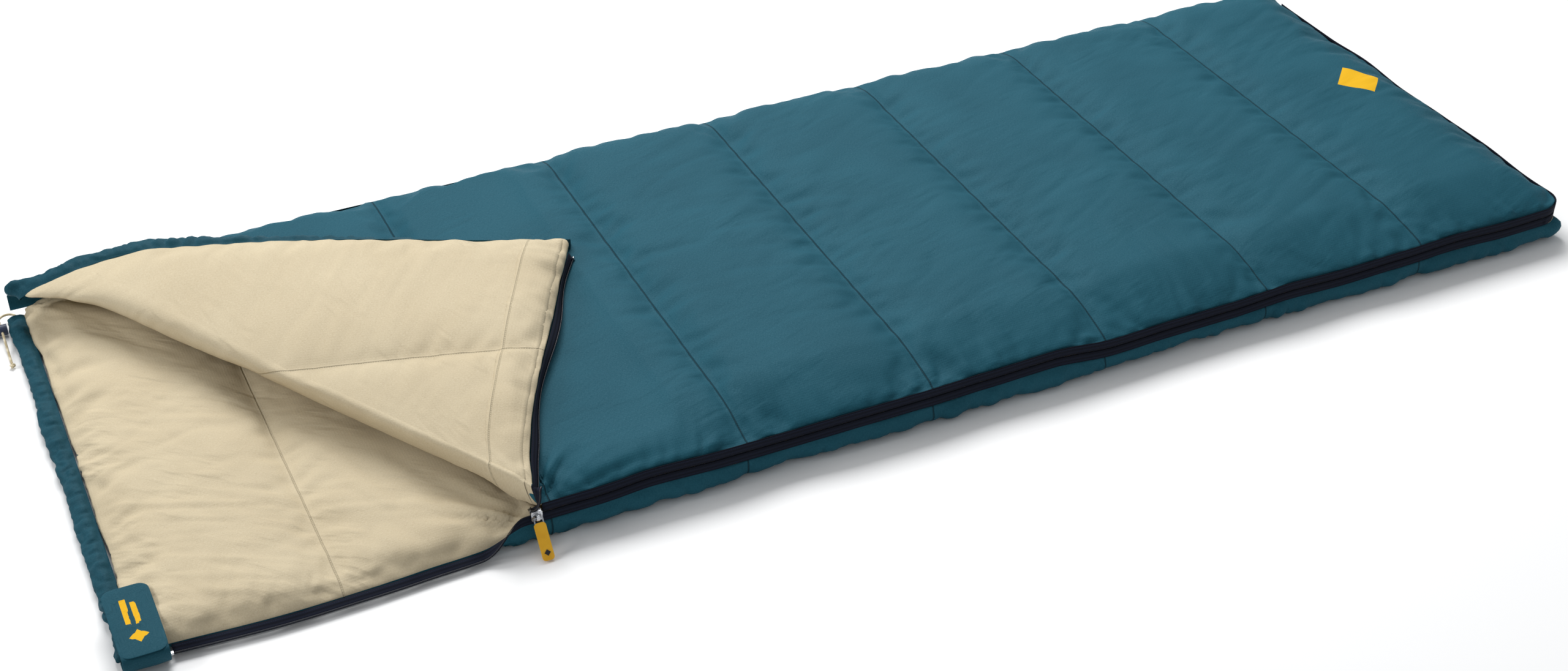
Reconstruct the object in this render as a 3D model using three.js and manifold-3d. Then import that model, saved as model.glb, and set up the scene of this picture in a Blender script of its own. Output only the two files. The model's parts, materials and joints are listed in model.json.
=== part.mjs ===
// A rectangular quilted sleeping bag, lying flat with the zipped corner of its top panel
// turned back. Millimetres, +X to the foot end, +Y to the folded long side, +Z up, and the
// origin at the middle of the underside. The turned-back corner is shaped in its closed
// place with the rest of the top panel, then turned half a turn about the fold line.
import * as THREE from 'three';
import { mergeVertices } from 'three/addons/utils/BufferGeometryUtils.js';
import Module from 'manifold-3d';

const wasm = await Module();
wasm.setup();

// ---- Driving dimensions -------------------------------------------------------------
const LENGTH = 2200;
const WIDTH = 780;
const CHANNELS = 8; // quilted channels along the length
const CHANNEL = LENGTH / CHANNELS;
const HEAD = -LENGTH / 2;
const FOOT = LENGTH / 2;
const NEAR = -WIDTH / 2; // the zipped long side
const FAR = WIDTH / 2; // the folded long side
const MOUTH = HEAD + 530; // where the slider stands and the turned-back corner starts
const FOOT_RADIUS = 40;
const GAP = 0.3; // between pieces that touch
const CLOTH = 0.9; // thickness of a shell or lining
const SKIN = CLOTH + GAP; // from the outside of a panel to its lining's edge
const PADDING = CLOTH + 2.5 * GAP; // from the outside of a panel to its filling
const BEVEL = 12; // rounded outer run of a panel's edge
const EDGE_RUN = 50; // from a panel's edge to its full thickness

// Heights of the two panels, and of the two hinges between them
const UNDER_EDGE = 6; // the underside lifts this much at the edge
const BOTTOM = { seam: 27, crown: 32, lip: 34, farLip: 32, openLip: 15, headTop: 18 };
const TOP_LOW = { seam: 50, crown: 46, lip: 54, farLip: 46 };
const TOP_HIGH = { seam: 69, crown: 78, lip: 66, farLip: 64 };
const FOLD_Z = 79; // the corner turns back about a line at this height

// The open lower edge sags and bows outwards between the head and the slider
const BOW = 14;
const BOW_END = MOUTH - 20;
const LIP_DROP_START = MOUTH - 60;

// Hems at the head end
const HEM = { width: 28, low: 2, high: 18, farEnd: FAR - 18, nearEnd: NEAR + 2, chamfer: 4 };
const TOP_HEM = { width: 25, low: 54, high: 67 };
const CORD_RADIUS = 1.75;
const HEM_BORE = 8; // width of the drawcord's channel

// Zip: two tapes and two coils with a parting between them for the slider's wedge
const TAPE = { thick: 0.9, width: 13.1 };
const COIL = { start: 11, end: 13.3, near: 0.85, far: 2.55 }; // across the tape, off the tape
const ZIP_Z = 45.2; // middle of the closed chain
const PARTING = 0.9; // half the gap between the coils
const ZIP_END = 340; // the zip stops here on the foot edge
const OPEN_TAPE_Z = 11.5;
const CORNER_TAPE_Z = 60;
const OPEN_TAPE_START = HEAD + 64;

const SLIDER = { length: 15, width: 15, plate: 1.5, wedge: 1.2, channel: 3.7 };
const PULL = { length: 55, tabWidth: 15.5, tabThick: 2.6, tabStart: 6, axisY: NEAR - 8, axisZ: 44 };
const INNER_PULL = { length: 20, width: 8, thick: 1.2, droop: 24, axisY: NEAR + 4, axisZ: 44 };
const FLAP = { headX: HEAD + 2, footX: HEAD + 60, outerY: NEAR - 34, innerY: NEAR + 94 };
const FLAP_Z = { low: 34.5, high: 37, patch: 1.4 };
const LOCK = { x: HEAD - 11, y: 350, z: 10, radius: 8, length: 16, bore: 6.4, travel: 3 };

// ---- Materials ----------------------------------------------------------------------
const LOOKS = {
  shell: { color: 0x3a6473, roughness: 0.6, metalness: 0 },
  lining: { color: 0xdcccb0, roughness: 0.8, metalness: 0 },
  filling: { color: 0xf0efe9, roughness: 1, metalness: 0 },
  tape: { color: 0x232c3a, roughness: 0.85, metalness: 0 },
  coil: { color: 0x1d2531, roughness: 0.45, metalness: 0 },
  metal: { color: 0xb9bcc0, roughness: 0.3, metalness: 1 },
  tab: { color: 0xf2c21a, roughness: 0.5, metalness: 0 },
  cord: { color: 0xd8cdb2, roughness: 0.9, metalness: 0 },
  lock: { color: 0x27324a, roughness: 0.5, metalness: 0 },
  hookLoop: { color: 0x1c2229, roughness: 1, metalness: 0 },
};

// ---- Solids -------------------------------------------------------------------------
// Newell's normal of a closed ring of points.
function ringNormal(ring) {
  const normal = new THREE.Vector3();
  ring.forEach((p, i) => {
    const q = ring[(i + 1) % ring.length];
    normal.x += (p.y - q.y) * (p.z + q.z);
    normal.y += (p.z - q.z) * (p.x + q.x);
    normal.z += (p.x - q.x) * (p.y + q.y);
  });
  return normal;
}

// Triangles that fill a flat ring, as indices into it, wound the way the ring is.
function fillRing(ring) {
  const n = ringNormal(ring);
  const size = [Math.abs(n.x), Math.abs(n.y), Math.abs(n.z)];
  const drop = size.indexOf(Math.max(...size));
  const [u, v] = [['y', 'z'], ['z', 'x'], ['x', 'y']][drop];
  const flat = ring.map((p) => new THREE.Vector2(p[u], p[v]));
  return THREE.ShapeUtils.triangulateShape(flat, []);
}

// A closed body through rings that all have the same number of points. Each half of a ring
// splits its quads the same way up, so that layers stacked with a small gap stay apart.
function loft(rings) {
  const count = rings[0].length;
  const points = rings.flat();
  const last = (rings.length - 1) * count;
  const faces = [];
  for (let i = 0; i < last; i += count) {
    for (let j = 0; j < count; j += 1) {
      const [a, b] = [i + j, i + (j + 1) % count];
      const [c, d] = [a + count, b + count];
      faces.push(...(j < count / 2 ? [[a, b, d], [a, d, c]] : [[a, b, c], [b, d, c]]));
    }
  }
  const start = fillRing(rings[0]);
  const end = fillRing(rings[rings.length - 1]);
  const startTurns = ringNormal(start[0].map((i) => rings[0][i])).dot(ringNormal(rings[0])) > 0;
  const endRing = rings[rings.length - 1];
  const endTurns = ringNormal(end[0].map((i) => endRing[i])).dot(ringNormal(endRing)) > 0;
  start.forEach(([a, b, c]) => faces.push(startTurns ? [a, c, b] : [a, b, c]));
  end.forEach(([a, b, c]) => {
    faces.push(endTurns ? [a + last, b + last, c + last] : [a + last, c + last, b + last]);
  });
  return facesOut(points, faces);
}

// A geometry with shared vertices whose faces point out.
function facesOut(points, faces) {
  let volume = 0;
  faces.forEach(([a, b, c]) => {
    volume += points[a].dot(new THREE.Vector3().crossVectors(points[b], points[c]));
  });
  const turned = volume > 0 ? faces : faces.map(([a, b, c]) => [a, c, b]);
  const geometry = new THREE.BufferGeometry().setFromPoints(points);
  geometry.setIndex(turned.flat());
  return geometry;
}

function toSolid(geometry) {
  const bare = geometry.clone();
  bare.deleteAttribute('normal');
  bare.deleteAttribute('uv');
  const merged = mergeVertices(bare, 1e-4);
  return new wasm.Manifold(new wasm.Mesh({
    numProp: 3,
    vertProperties: new Float32Array(merged.attributes.position.array),
    triVerts: new Uint32Array(merged.index.array),
  }));
}

function fromSolid(solid) {
  const mesh = solid.getMesh();
  const geometry = new THREE.BufferGeometry();
  geometry.setAttribute('position', new THREE.BufferAttribute(mesh.vertProperties, 3));
  geometry.setIndex(new THREE.BufferAttribute(mesh.triVerts, 1));
  return geometry;
}

// A geometry with others cut from it.
function cut(geometry, ...tools) {
  return fromSolid(tools.reduce((solid, tool) => solid.subtract(toSolid(tool)), toSolid(geometry)));
}

function join(...geometries) {
  return fromSolid(geometries.map(toSolid).reduce((all, one) => all.add(one)));
}

function overlap(geometry, keeper) {
  return fromSolid(toSolid(geometry).intersect(toSolid(keeper)));
}

// A box between two opposite corners.
function block(x0, x1, y0, y1, z0, z1) {
  const box = new THREE.BoxGeometry(x1 - x0, y1 - y0, z1 - z0);
  return box.translate((x0 + x1) / 2, (y0 + y1) / 2, (z0 + z1) / 2);
}

// A cylinder between two places along X or Y.
function rod(axis, radius, from, to, a, b, sides = 20) {
  const geometry = new THREE.CylinderGeometry(radius, radius, to - from, sides);
  if (axis === 'x') {
    return geometry.rotateZ(Math.PI / 2).translate((from + to) / 2, a, b);
  }
  return geometry.translate(a, (from + to) / 2, b);
}

// A flat plate with round corners, lying in XY about the origin.
function roundedPlate(width, height, radius, thick, hole) {
  const outline = (w, h, r, path) => {
    path.moveTo(-w / 2 + r, -h / 2);
    path.absarc(w / 2 - r, -h / 2 + r, r, -Math.PI / 2, 0);
    path.absarc(w / 2 - r, h / 2 - r, r, 0, Math.PI / 2);
    path.absarc(-w / 2 + r, h / 2 - r, r, Math.PI / 2, Math.PI);
    path.absarc(-w / 2 + r, -h / 2 + r, r, Math.PI, 1.5 * Math.PI);
    return path;
  };
  const shape = outline(width, height, radius, new THREE.Shape());
  if (hole) {
    const path = outline(hole.width, hole.height, hole.radius, new THREE.Path());
    shape.holes.push(path);
  }
  const settings = { depth: thick, bevelEnabled: false, curveSegments: 4 };
  return new THREE.ExtrudeGeometry(shape, settings).translate(0, 0, -thick / 2);
}

// ---- Quilted panels -----------------------------------------------------------------
// 0 at a panel's edge, 1 from EDGE_RUN inwards.
function rise(distance) {
  if (distance < BEVEL) {
    return 0.5 * distance / BEVEL;
  }
  return Math.min(1, 0.5 + 0.5 * (distance - BEVEL) / (EDGE_RUN - BEVEL));
}

// 0 on a quilting seam, 1 in the middle of a channel.
function crown(x) {
  const across = ((x - HEAD) / CHANNEL) % 1;
  return 1 - Math.abs(2 * across - 1) ** 2.5;
}

// How far the open lower edge bows outwards.
function bow(x) {
  return x > BOW_END ? 0 : BOW * Math.sin(Math.PI * (x - HEAD) / (BOW_END - HEAD));
}

function nearLip(x) {
  const shut = THREE.MathUtils.clamp((x - LIP_DROP_START) / (BOW_END - LIP_DROP_START), 0, 1);
  return THREE.MathUtils.lerp(BOTTOM.openLip, BOTTOM.lip, shut);
}

function mix(edge, inside, distance) {
  return THREE.MathUtils.lerp(edge, inside, rise(distance));
}

// Heights of the panels' faces at x, on the near or far half, at a distance from the edge.
const bottomLow = (x, isFar, distance) => UNDER_EDGE * Math.max(0, 1 - distance / BEVEL);

function bottomHigh(x, isFar, distance) {
  const lip = isFar ? BOTTOM.farLip : nearLip(x);
  const inside = THREE.MathUtils.lerp(BOTTOM.seam, BOTTOM.crown, crown(x));
  return mix(BOTTOM.headTop, mix(lip, inside, distance), x - HEAD - HEM.width);
}

function topFace(face, x, isFar, distance) {
  const fromHead = x - HEAD - TOP_HEM.width;
  const inside = THREE.MathUtils.lerp(face.seam, face.crown, crown(x));
  return mix(isFar ? face.farLip : face.lip, inside, Math.min(distance, fromHead));
}

const topLow = (x, isFar, distance) => topFace(TOP_LOW, x, isFar, distance);
const topHigh = (x, isFar, distance) => topFace(TOP_HIGH, x, isFar, distance);

// Places along X for a panel's rings, with how far the side is drawn in at each.
function stations(start, inset) {
  const xs = [start, start + BEVEL, start + EDGE_RUN, LIP_DROP_START, BOW_END];
  for (let x = HEAD; x < FOOT - FOOT_RADIUS; x += CHANNEL / 4) {
    if (x > start + EDGE_RUN + BEVEL) {
      xs.push(x);
    }
  }
  const list = xs.sort((a, b) => a - b).map((x) => ({ x, side: inset }));
  const radius = FOOT_RADIUS - inset;
  for (let angle = 0; angle < 1.6; angle += Math.PI / 8) {
    const x = FOOT - FOOT_RADIUS + radius * Math.sin(angle);
    list.push({ x, side: inset + radius * (1 - Math.cos(angle)) });
  }
  return list;
}

// A panel-shaped body between two faces, drawn in from the outline by an inset.
function panel(start, inset, low, high, bowed) {
  const depths = [0, BEVEL, EDGE_RUN];
  return loft(stations(start, inset).map(({ x, side }) => {
    const near = NEAR - (bowed ? bow(x) : 0) + side;
    const far = FAR - side;
    const places = [
      ...depths.map((depth) => ({ y: near + depth, isFar: false, depth })),
      ...depths.map((depth) => ({ y: far - depth, isFar: true, depth })).reverse(),
    ];
    const point = (face) => ({ y, isFar, depth }) => {
      const distance = Math.min(depth + inset, FOOT - x);
      return new THREE.Vector3(x, y, face(x, isFar, distance));
    };
    return [...places.map(point(low)), ...places.map(point(high)).reverse()];
  }));
}

const lifted = (face, by) => (...at) => face(...at) + by;

// ---- The turned-back corner ---------------------------------------------------------
const foldStart = new THREE.Vector3(HEAD, FAR, FOLD_Z);
const foldEnd = new THREE.Vector3(MOUTH, NEAR, FOLD_Z);
const foldAxis = foldEnd.clone().sub(foldStart).normalize();

// Everything on one side of the fold line: 1 is the foot side, -1 the corner.
function foldSide(side) {
  const reach = 3000;
  const middle = foldStart.clone().add(foldEnd).multiplyScalar(0.5);
  const box = new THREE.BoxGeometry(reach, reach, reach);
  box.translate(0, side * (reach / 2 + GAP), 0);
  box.rotateZ(Math.atan2(foldAxis.y, foldAxis.x));
  return box.translate(middle.x, middle.y, 0);
}

const footSide = foldSide(1);
const cornerSide = foldSide(-1);

function mainPart(geometry) {
  return overlap(geometry, footSide);
}

function turnBack(geometry) {
  const turn = new THREE.Matrix4().makeTranslation(foldStart);
  turn.multiply(new THREE.Matrix4().makeRotationAxis(foldAxis, Math.PI));
  turn.multiply(new THREE.Matrix4().makeTranslation(foldStart.clone().negate()));
  return geometry.applyMatrix4(turn);
}

function cornerPart(geometry) {
  return turnBack(overlap(geometry, cornerSide));
}

// ---- Panels' layers -----------------------------------------------------------------
const bottomStart = HEAD + HEM.width + GAP;
const topStart = HEAD + TOP_HEM.width + GAP;
const BEYOND = 60; // a cutter runs on this far past the open face of a shell

function bottomShell() {
  const outside = panel(bottomStart, 0, bottomLow, bottomHigh, true);
  const low = lifted(bottomLow, CLOTH);
  const inside = panel(bottomStart - 1, CLOTH, low, lifted(bottomHigh, BEYOND), true);
  return cut(outside, inside);
}

function bottomFill() {
  const high = lifted(bottomHigh, -PADDING);
  return panel(bottomStart, PADDING, lifted(bottomLow, PADDING), high, true);
}

function bottomLining() {
  return panel(bottomStart, SKIN, lifted(bottomHigh, -CLOTH), bottomHigh, true);
}

function topShell() {
  const outside = panel(topStart, 0, topLow, topHigh, false);
  const high = lifted(topHigh, -CLOTH);
  const inside = panel(topStart - 1, CLOTH, lifted(topLow, -BEYOND), high, false);
  return cut(outside, inside);
}

function topFill() {
  return panel(topStart, PADDING, lifted(topLow, PADDING), lifted(topHigh, -PADDING), false);
}

function topLining() {
  return panel(topStart, SKIN, topLow, lifted(topLow, CLOTH), false);
}

// A layer that lies along the zipped edge on a face, between two offsets from it.
function draped(xs, depths, face, from, to) {
  return loft(xs.map((x) => {
    const at = (by) => (depth) => {
      const y = NEAR + SKIN + depth;
      return new THREE.Vector3(x, y, face(x, false, depth + SKIN) + by);
    };
    return [...depths.map(at(from)), ...depths.map(at(to)).reverse()];
  }));
}

// A double strip of lining cloth along the zipped edge, under the top panel's lining.
function draftStrip() {
  const xs = stations(topStart, SKIN).map(({ x }) => x).filter((x) => x < FOOT - FOOT_RADIUS);
  return draped(xs, [BEVEL, EDGE_RUN, EDGE_RUN + 10], topLow, -GAP, -GAP - 1.2);
}

// The soft half of the closure, on the outside of the top panel's corner.
function loopPatch() {
  const xs = [topStart + 1, topStart + BEVEL, topStart + EDGE_RUN];
  return draped(xs, [BEVEL, EDGE_RUN], topHigh, GAP, GAP + 1);
}

// ---- Head hems and their drawcords --------------------------------------------------
// A prism along Y with chamfered edges, between two x and two z.
function hemTube(x0, x1, z0, z1, y0, y1, chamfer) {
  const outline = [
    [x0, z0 + chamfer], [x0 + chamfer, z0], [x1 - chamfer, z0], [x1, z0 + chamfer],
    [x1, z1 - chamfer], [x1 - chamfer, z1], [x0 + chamfer, z1], [x0, z1 - chamfer],
  ];
  return loft([y0, y1].map((y) => outline.map(([x, z]) => new THREE.Vector3(x, y, z))));
}

function boredHem(x0, x1, z0, z1, y0, y1) {
  const half = HEM_BORE / 2;
  const [x, z] = [(x0 + x1) / 2, (z0 + z1) / 2];
  const bore = hemTube(x - half, x + half, z - half, z + half, y0 - 1, y1 + 1, 1);
  return cut(hemTube(x0, x1, z0, z1, y0, y1, HEM.chamfer), bore);
}

function bottomHem() {
  const { width, low, high, nearEnd, farEnd } = HEM;
  return boredHem(HEAD, HEAD + width, low, high, nearEnd, farEnd);
}

function topHem() {
  const { width, low, high } = TOP_HEM;
  return boredHem(HEAD, HEAD + width, low, high, HEM.nearEnd, FAR);
}

// A round cord along a route.
function cord(route, steps) {
  const section = new THREE.Shape();
  section.absarc(0, 0, CORD_RADIUS, 0, 2 * Math.PI);
  const settings = { steps, extrudePath: route, curveSegments: 4 };
  return new THREE.ExtrudeGeometry(section, settings);
}

// In the hem, out of its far end, round a small bend and back through the cord lock.
function drawcord() {
  const x = HEAD + HEM.width / 2;
  const z = (HEM.low + HEM.high) / 2;
  const radius = (x - LOCK.x) / 2;
  const turnY = FAR - radius - CORD_RADIUS - 1;
  const route = new THREE.CurvePath();
  route.add(new THREE.LineCurve3(
    new THREE.Vector3(x, NEAR + 20, z),
    new THREE.Vector3(x, turnY, z),
  ));
  const bend = [0, 0.25, 0.5, 0.75, 1].map((part) => new THREE.Vector3(
    LOCK.x + radius * (1 + Math.cos(part * Math.PI)),
    turnY + radius * Math.sin(part * Math.PI),
    z,
  ));
  route.add(new THREE.CatmullRomCurve3(bend));
  route.add(new THREE.LineCurve3(bend[4], new THREE.Vector3(LOCK.x, turnY - 110, z)));
  return cord(route, 80);
}

function cornerDrawcord() {
  const x = HEAD + TOP_HEM.width / 2;
  const z = (TOP_HEM.low + TOP_HEM.high) / 2;
  const ends = [new THREE.Vector3(x, NEAR + 20, z), new THREE.Vector3(x, FAR - 70, z)];
  return turnBack(cord(new THREE.LineCurve3(...ends), 12));
}

// ---- Zip ----------------------------------------------------------------------------
// Stations of the closed zip, from x along the near side and round the foot corner.
function zipRoute(x) {
  const route = [{ x, y: NEAR, out: [0, -1] }];
  for (let angle = 0; angle < 1.6; angle += Math.PI / 8) {
    const [across, along] = [Math.sin(angle), Math.cos(angle)];
    route.push({
      x: FOOT - FOOT_RADIUS + FOOT_RADIUS * across,
      y: NEAR + FOOT_RADIUS - FOOT_RADIUS * along,
      out: [across, -along],
    });
  }
  route.push({ x: FOOT, y: ZIP_END, out: [1, 0] });
  return route;
}

// A strip along stations: each ring is a list of [outwards, up] from the panel's edge.
function strip(route, ringAt) {
  return loft(route.map((station) => ringAt(station).map(([off, z]) => new THREE.Vector3(
    station.x + station.out[0] * off,
    station.y + station.out[1] * off,
    z,
  ))));
}

// Corners of a rectangle across a tape that leans by an angle: s along the tape's width
// from its sewn edge, n off its outer face.
function tapeSection(sewnOff, sewnZ, lean, s0, s1, n0, n1) {
  const [along, up] = [Math.cos(lean), Math.sin(lean)];
  const corners = [[s0, n0], [s1, n0], [s1, n1], [s0, n1]];
  return corners.map(([s, n]) => [sewnOff + s * along + n * up, sewnZ + s * up - n * along]);
}

// The lower half hangs open and flat from the head to the slider, then stands up.
function lowerRoute() {
  const closedFrom = MOUTH - 10;
  const flatTo = closedFrom - 70;
  const route = [];
  for (let i = 0; i <= 8; i += 1) {
    const x = THREE.MathUtils.lerp(OPEN_TAPE_START, flatTo, i / 8);
    route.push({ x, y: NEAR - bow(x), out: [0, -1], shut: 0 });
  }
  for (let i = 1; i <= 4; i += 1) {
    const x = THREE.MathUtils.lerp(flatTo, closedFrom, i / 4);
    route.push({ x, y: NEAR - bow(x), out: [0, -1], shut: i / 4 });
  }
  return [...route, ...zipRoute(closedFrom + 1).map((station) => ({ ...station, shut: 1 }))];
}

function lowerStrip(s0, s1, n0, n1) {
  const sewnZ = ZIP_Z - PARTING - COIL.end;
  return strip(lowerRoute(), ({ shut }) => {
    const off = GAP + shut * TAPE.thick / 2 + 0.1;
    const z = THREE.MathUtils.lerp(OPEN_TAPE_Z, sewnZ, shut);
    return tapeSection(off, z, shut * Math.PI / 2, s0, s1, n0, n1);
  });
}

const halfTape = TAPE.thick / 2;
const zipTapeLower = () => lowerStrip(0, TAPE.width, -halfTape, halfTape);
const zipCoilLower = () => lowerStrip(COIL.start, COIL.end, COIL.near, COIL.far);

// The upper half of the closed zip, hanging from the top panel's edge.
const upperRoute = () => zipRoute(MOUTH + SLIDER.length / 2 + 1.5);

function upperStrip(s0, s1, n0, n1) {
  const freeZ = ZIP_Z + PARTING;
  const off = GAP + halfTape + 0.1;
  return strip(upperRoute(), () => [
    [off + n0, freeZ + s0], [off + n1, freeZ + s0], [off + n1, freeZ + s1], [off + n0, freeZ + s1],
  ]);
}

const zipTapeUpper = () => upperStrip(0.2, 11.3, -halfTape, halfTape);
const zipCoilUpper = () => upperStrip(0, COIL.end - COIL.start, COIL.near, COIL.far);

// The corner's half of the open zip lies flat, outwards from the corner's edge.
function cornerStrip(s0, s1, n0, n1) {
  const ends = [HEAD + 30, MOUTH - 16].map((x) => ({ x, y: NEAR, out: [0, -1] }));
  const off = GAP + 0.1;
  return turnBack(strip(ends, () => [
    [off + s0, CORNER_TAPE_Z + n0], [off + s1, CORNER_TAPE_Z + n0],
    [off + s1, CORNER_TAPE_Z + n1], [off + s0, CORNER_TAPE_Z + n1],
  ]));
}

const cornerZipTape = () => cornerStrip(0, TAPE.width, -halfTape, halfTape);
const cornerZipCoil = () => cornerStrip(COIL.start, COIL.end, COIL.near, COIL.far);

const STOP = 5; // length of a metal stop

function zipEndStop() {
  const off = FOOT + GAP + halfTape + 0.1;
  const end = ZIP_END + GAP;
  return block(off + COIL.near, off + 3, end, end + STOP, ZIP_Z - 4, ZIP_Z + 4);
}

function lowerTopStop() {
  const off = NEAR - GAP - bow(OPEN_TAPE_START) - 0.1;
  const x = OPEN_TAPE_START - GAP;
  const z = OPEN_TAPE_Z;
  return block(x - STOP, x, off - COIL.end, off - COIL.start + 1, z - 3, z + halfTape);
}

function upperTopStop() {
  const off = NEAR - GAP - 0.1;
  const x = HEAD + 30 - GAP;
  const z = CORNER_TAPE_Z;
  return turnBack(block(x - STOP, x, off - COIL.end, off - COIL.start + 1, z - halfTape, z + 3));
}

// ---- Slider and its pulls -----------------------------------------------------------
const tapeOuter = NEAR - GAP - 0.1 - TAPE.thick; // outer face of the closed tapes
const outerPlateY = tapeOuter - COIL.far + halfTape - 0.4; // inner face of the outer plate
const innerPlateY = outerPlateY + SLIDER.channel; // outer face of the inner plate

// A plate in the XZ plane between two y.
function sliderPlate(y0, y1) {
  const plate = roundedPlate(SLIDER.length, SLIDER.width, 3, y1 - y0);
  return plate.rotateX(Math.PI / 2).translate(MOUTH, (y0 + y1) / 2, ZIP_Z);
}

function sliderBody() {
  const front = MOUTH - SLIDER.length / 2;
  const half = SLIDER.width / 2;
  const outer = sliderPlate(outerPlateY - SLIDER.plate, outerPlateY);
  const inner = sliderPlate(innerPlateY, innerPlateY + SLIDER.plate);
  const wedge = block(front + 0.5, front + 5, outerPlateY - 1, innerPlateY + 1,
    ZIP_Z - SLIDER.wedge / 2, ZIP_Z + SLIDER.wedge / 2);
  const flange = (low, high) => block(front + 3.5, front + SLIDER.length - 3.5,
    outerPlateY - 0.5, outerPlateY + 1.9, low, high);
  const lower = flange(ZIP_Z - half, ZIP_Z - half + 1.4);
  const upper = flange(ZIP_Z + half - 1.4, ZIP_Z + half);
  return join(outer, inner, wedge, lower, upper);
}

// An arch across the zip that a pull's bar lies in, standing off a plate towards `out`.
function sliderCrown(y, out, reach) {
  const arch = new THREE.Shape();
  arch.moveTo(-4.5, 0);
  arch.lineTo(-4.5, reach - 2);
  arch.quadraticCurveTo(-4.5, reach, -2.5, reach);
  arch.lineTo(2.5, reach);
  arch.quadraticCurveTo(4.5, reach, 4.5, reach - 2);
  arch.lineTo(4.5, 0);
  arch.lineTo(3.2, 0);
  arch.lineTo(3.2, reach - 1.3);
  arch.lineTo(-3.2, reach - 1.3);
  arch.lineTo(-3.2, 0);
  const settings = { depth: 4, bevelEnabled: false, curveSegments: 3 };
  const body = new THREE.ExtrudeGeometry(arch, settings).translate(0, 0, -2);
  body.applyMatrix4(new THREE.Matrix4().makeBasis(
    new THREE.Vector3(0, 0, -out),
    new THREE.Vector3(0, out, 0),
    new THREE.Vector3(1, 0, 0),
  ));
  return body.translate(MOUTH, y, PULL.axisZ);
}

const outerCrown = () => sliderCrown(outerPlateY - SLIDER.plate - GAP, -1, 5.2);
const innerCrown = () => sliderCrown(innerPlateY + SLIDER.plate + GAP, 1, 4.6);

// The outer pull is shaped flat, with its bar at the origin and its length along -Y, then
// hung from the crown so that its tip reaches the floor.
const pullAngle = Math.asin((PULL.axisZ - PULL.tabThick / 2 - GAP) / PULL.length);
const outwardHang = (geometry) => {
  geometry.rotateX(pullAngle);
  return geometry.translate(MOUTH, PULL.axisY, PULL.axisZ);
};

// A flat ring whose upper bar lies in the crown and whose lower bar is in the tab.
function linkPlate(spare) {
  const hole = { width: 9.6 - 2 * spare, height: 8 - 2 * spare, radius: 1 };
  const plate = roundedPlate(13 + 2 * spare, 11.4 + 2 * spare, 2, 1.6 + 2 * spare, hole);
  return plate.translate(0, -4.8, 0);
}

const pullLink = () => outwardHang(linkPlate(0));

function pullTab() {
  const long = PULL.length - PULL.tabStart;
  const tab = roundedPlate(PULL.tabWidth, long, 4.5, PULL.tabThick);
  tab.translate(0, -PULL.tabStart - long / 2, 0);
  return outwardHang(cut(tab, linkPlate(GAP)));
}

function innerPull() {
  const { width, length, thick } = INNER_PULL;
  const hole = { width: 5, height: 4.2, radius: 1 };
  const plate = roundedPlate(width, length, 2.2, thick);
  const slot = roundedPlate(hole.width, hole.height, hole.radius, thick + 2);
  slot.translate(0, -length / 2 + 0.9 + hole.height / 2, 0);
  const body = cut(plate, slot).translate(0, length / 2 - 0.6, 0);
  body.rotateX(-THREE.MathUtils.degToRad(INNER_PULL.droop));
  return body.translate(MOUTH, INNER_PULL.axisY, INNER_PULL.axisZ);
}

// ---- Closure flap over the zip's head end -------------------------------------------
function flapPlate(margin, z0, z1) {
  const { headX, footX, outerY, innerY } = FLAP;
  const [width, depth] = [footX - headX - 2 * margin, innerY - outerY - 2 * margin];
  const plate = roundedPlate(width, depth, 14, z1 - z0);
  return plate.translate((headX + footX) / 2, (outerY + innerY) / 2, (z0 + z1) / 2);
}

const closureFlap = () => flapPlate(0, FLAP_Z.low, FLAP_Z.high);

function hookPatch() {
  const high = FLAP_Z.low - GAP;
  const patch = flapPlate(6, high - FLAP_Z.patch, high);
  return overlap(patch, block(HEAD, MOUTH, NEAR + 46, 0, 0, 100));
}

// The flap's sewn root, from the bottom panel's edge out to the flap's fold.
function flapRoot() {
  const thick = 1.2;
  const [x0, x1] = [FLAP.headX + 6, FLAP.footX - 4];
  const inner = { y: NEAR - bow(x1) - 0.6, z: 12 };
  const outer = { y: FLAP.outerY + 14, z: FLAP_Z.low - thick - 0.6 };
  return loft([x0, x1].map((x) => [
    new THREE.Vector3(x, inner.y, inner.z),
    new THREE.Vector3(x, outer.y, outer.z),
    new THREE.Vector3(x, outer.y, outer.z + thick),
    new THREE.Vector3(x, inner.y, inner.z + 1.6),
  ]));
}

// ---- Cord lock ----------------------------------------------------------------------
const lockInner = LOCK.x + LOCK.length / 2; // the end towards the hem
const lockOuter = LOCK.x - LOCK.length / 2;

function cordLockBarrel() {
  const { radius, bore, y, z } = LOCK;
  const body = rod('x', radius, lockOuter, lockInner, y, z);
  const hollow = rod('x', bore, lockOuter - 1, lockInner - 1.2, y, z);
  const cross = rod('y', CORD_RADIUS + 0.45, y - radius - 2, y + radius + 2, LOCK.x, z, 12);
  return cut(body, hollow, cross);
}

// A button whose stem pinches the cord; its cross slot is longer than the travel.
function cordLockButton() {
  const { radius, bore, travel, x, y, z } = LOCK;
  const clear = CORD_RADIUS + 0.4;
  const shoulder = lockOuter - travel - GAP;
  const stem = rod('x', bore - 0.4, shoulder - 1, lockInner - 1.2 - travel - GAP, y, z);
  const dome = [[0, 0], [radius - 0.4, 0], [radius - 0.4, 2], [radius - 2, 3.6], [0, 4.4]];
  const head = new THREE.LatheGeometry(dome.map(([r, h]) => new THREE.Vector2(r, h)), 20);
  head.rotateZ(Math.PI / 2).translate(shoulder, y, z);
  const slot = block(x - clear - travel, x + clear, y - radius, y + radius, z - clear, z + clear);
  return cut(join(stem, head), slot);
}

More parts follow.
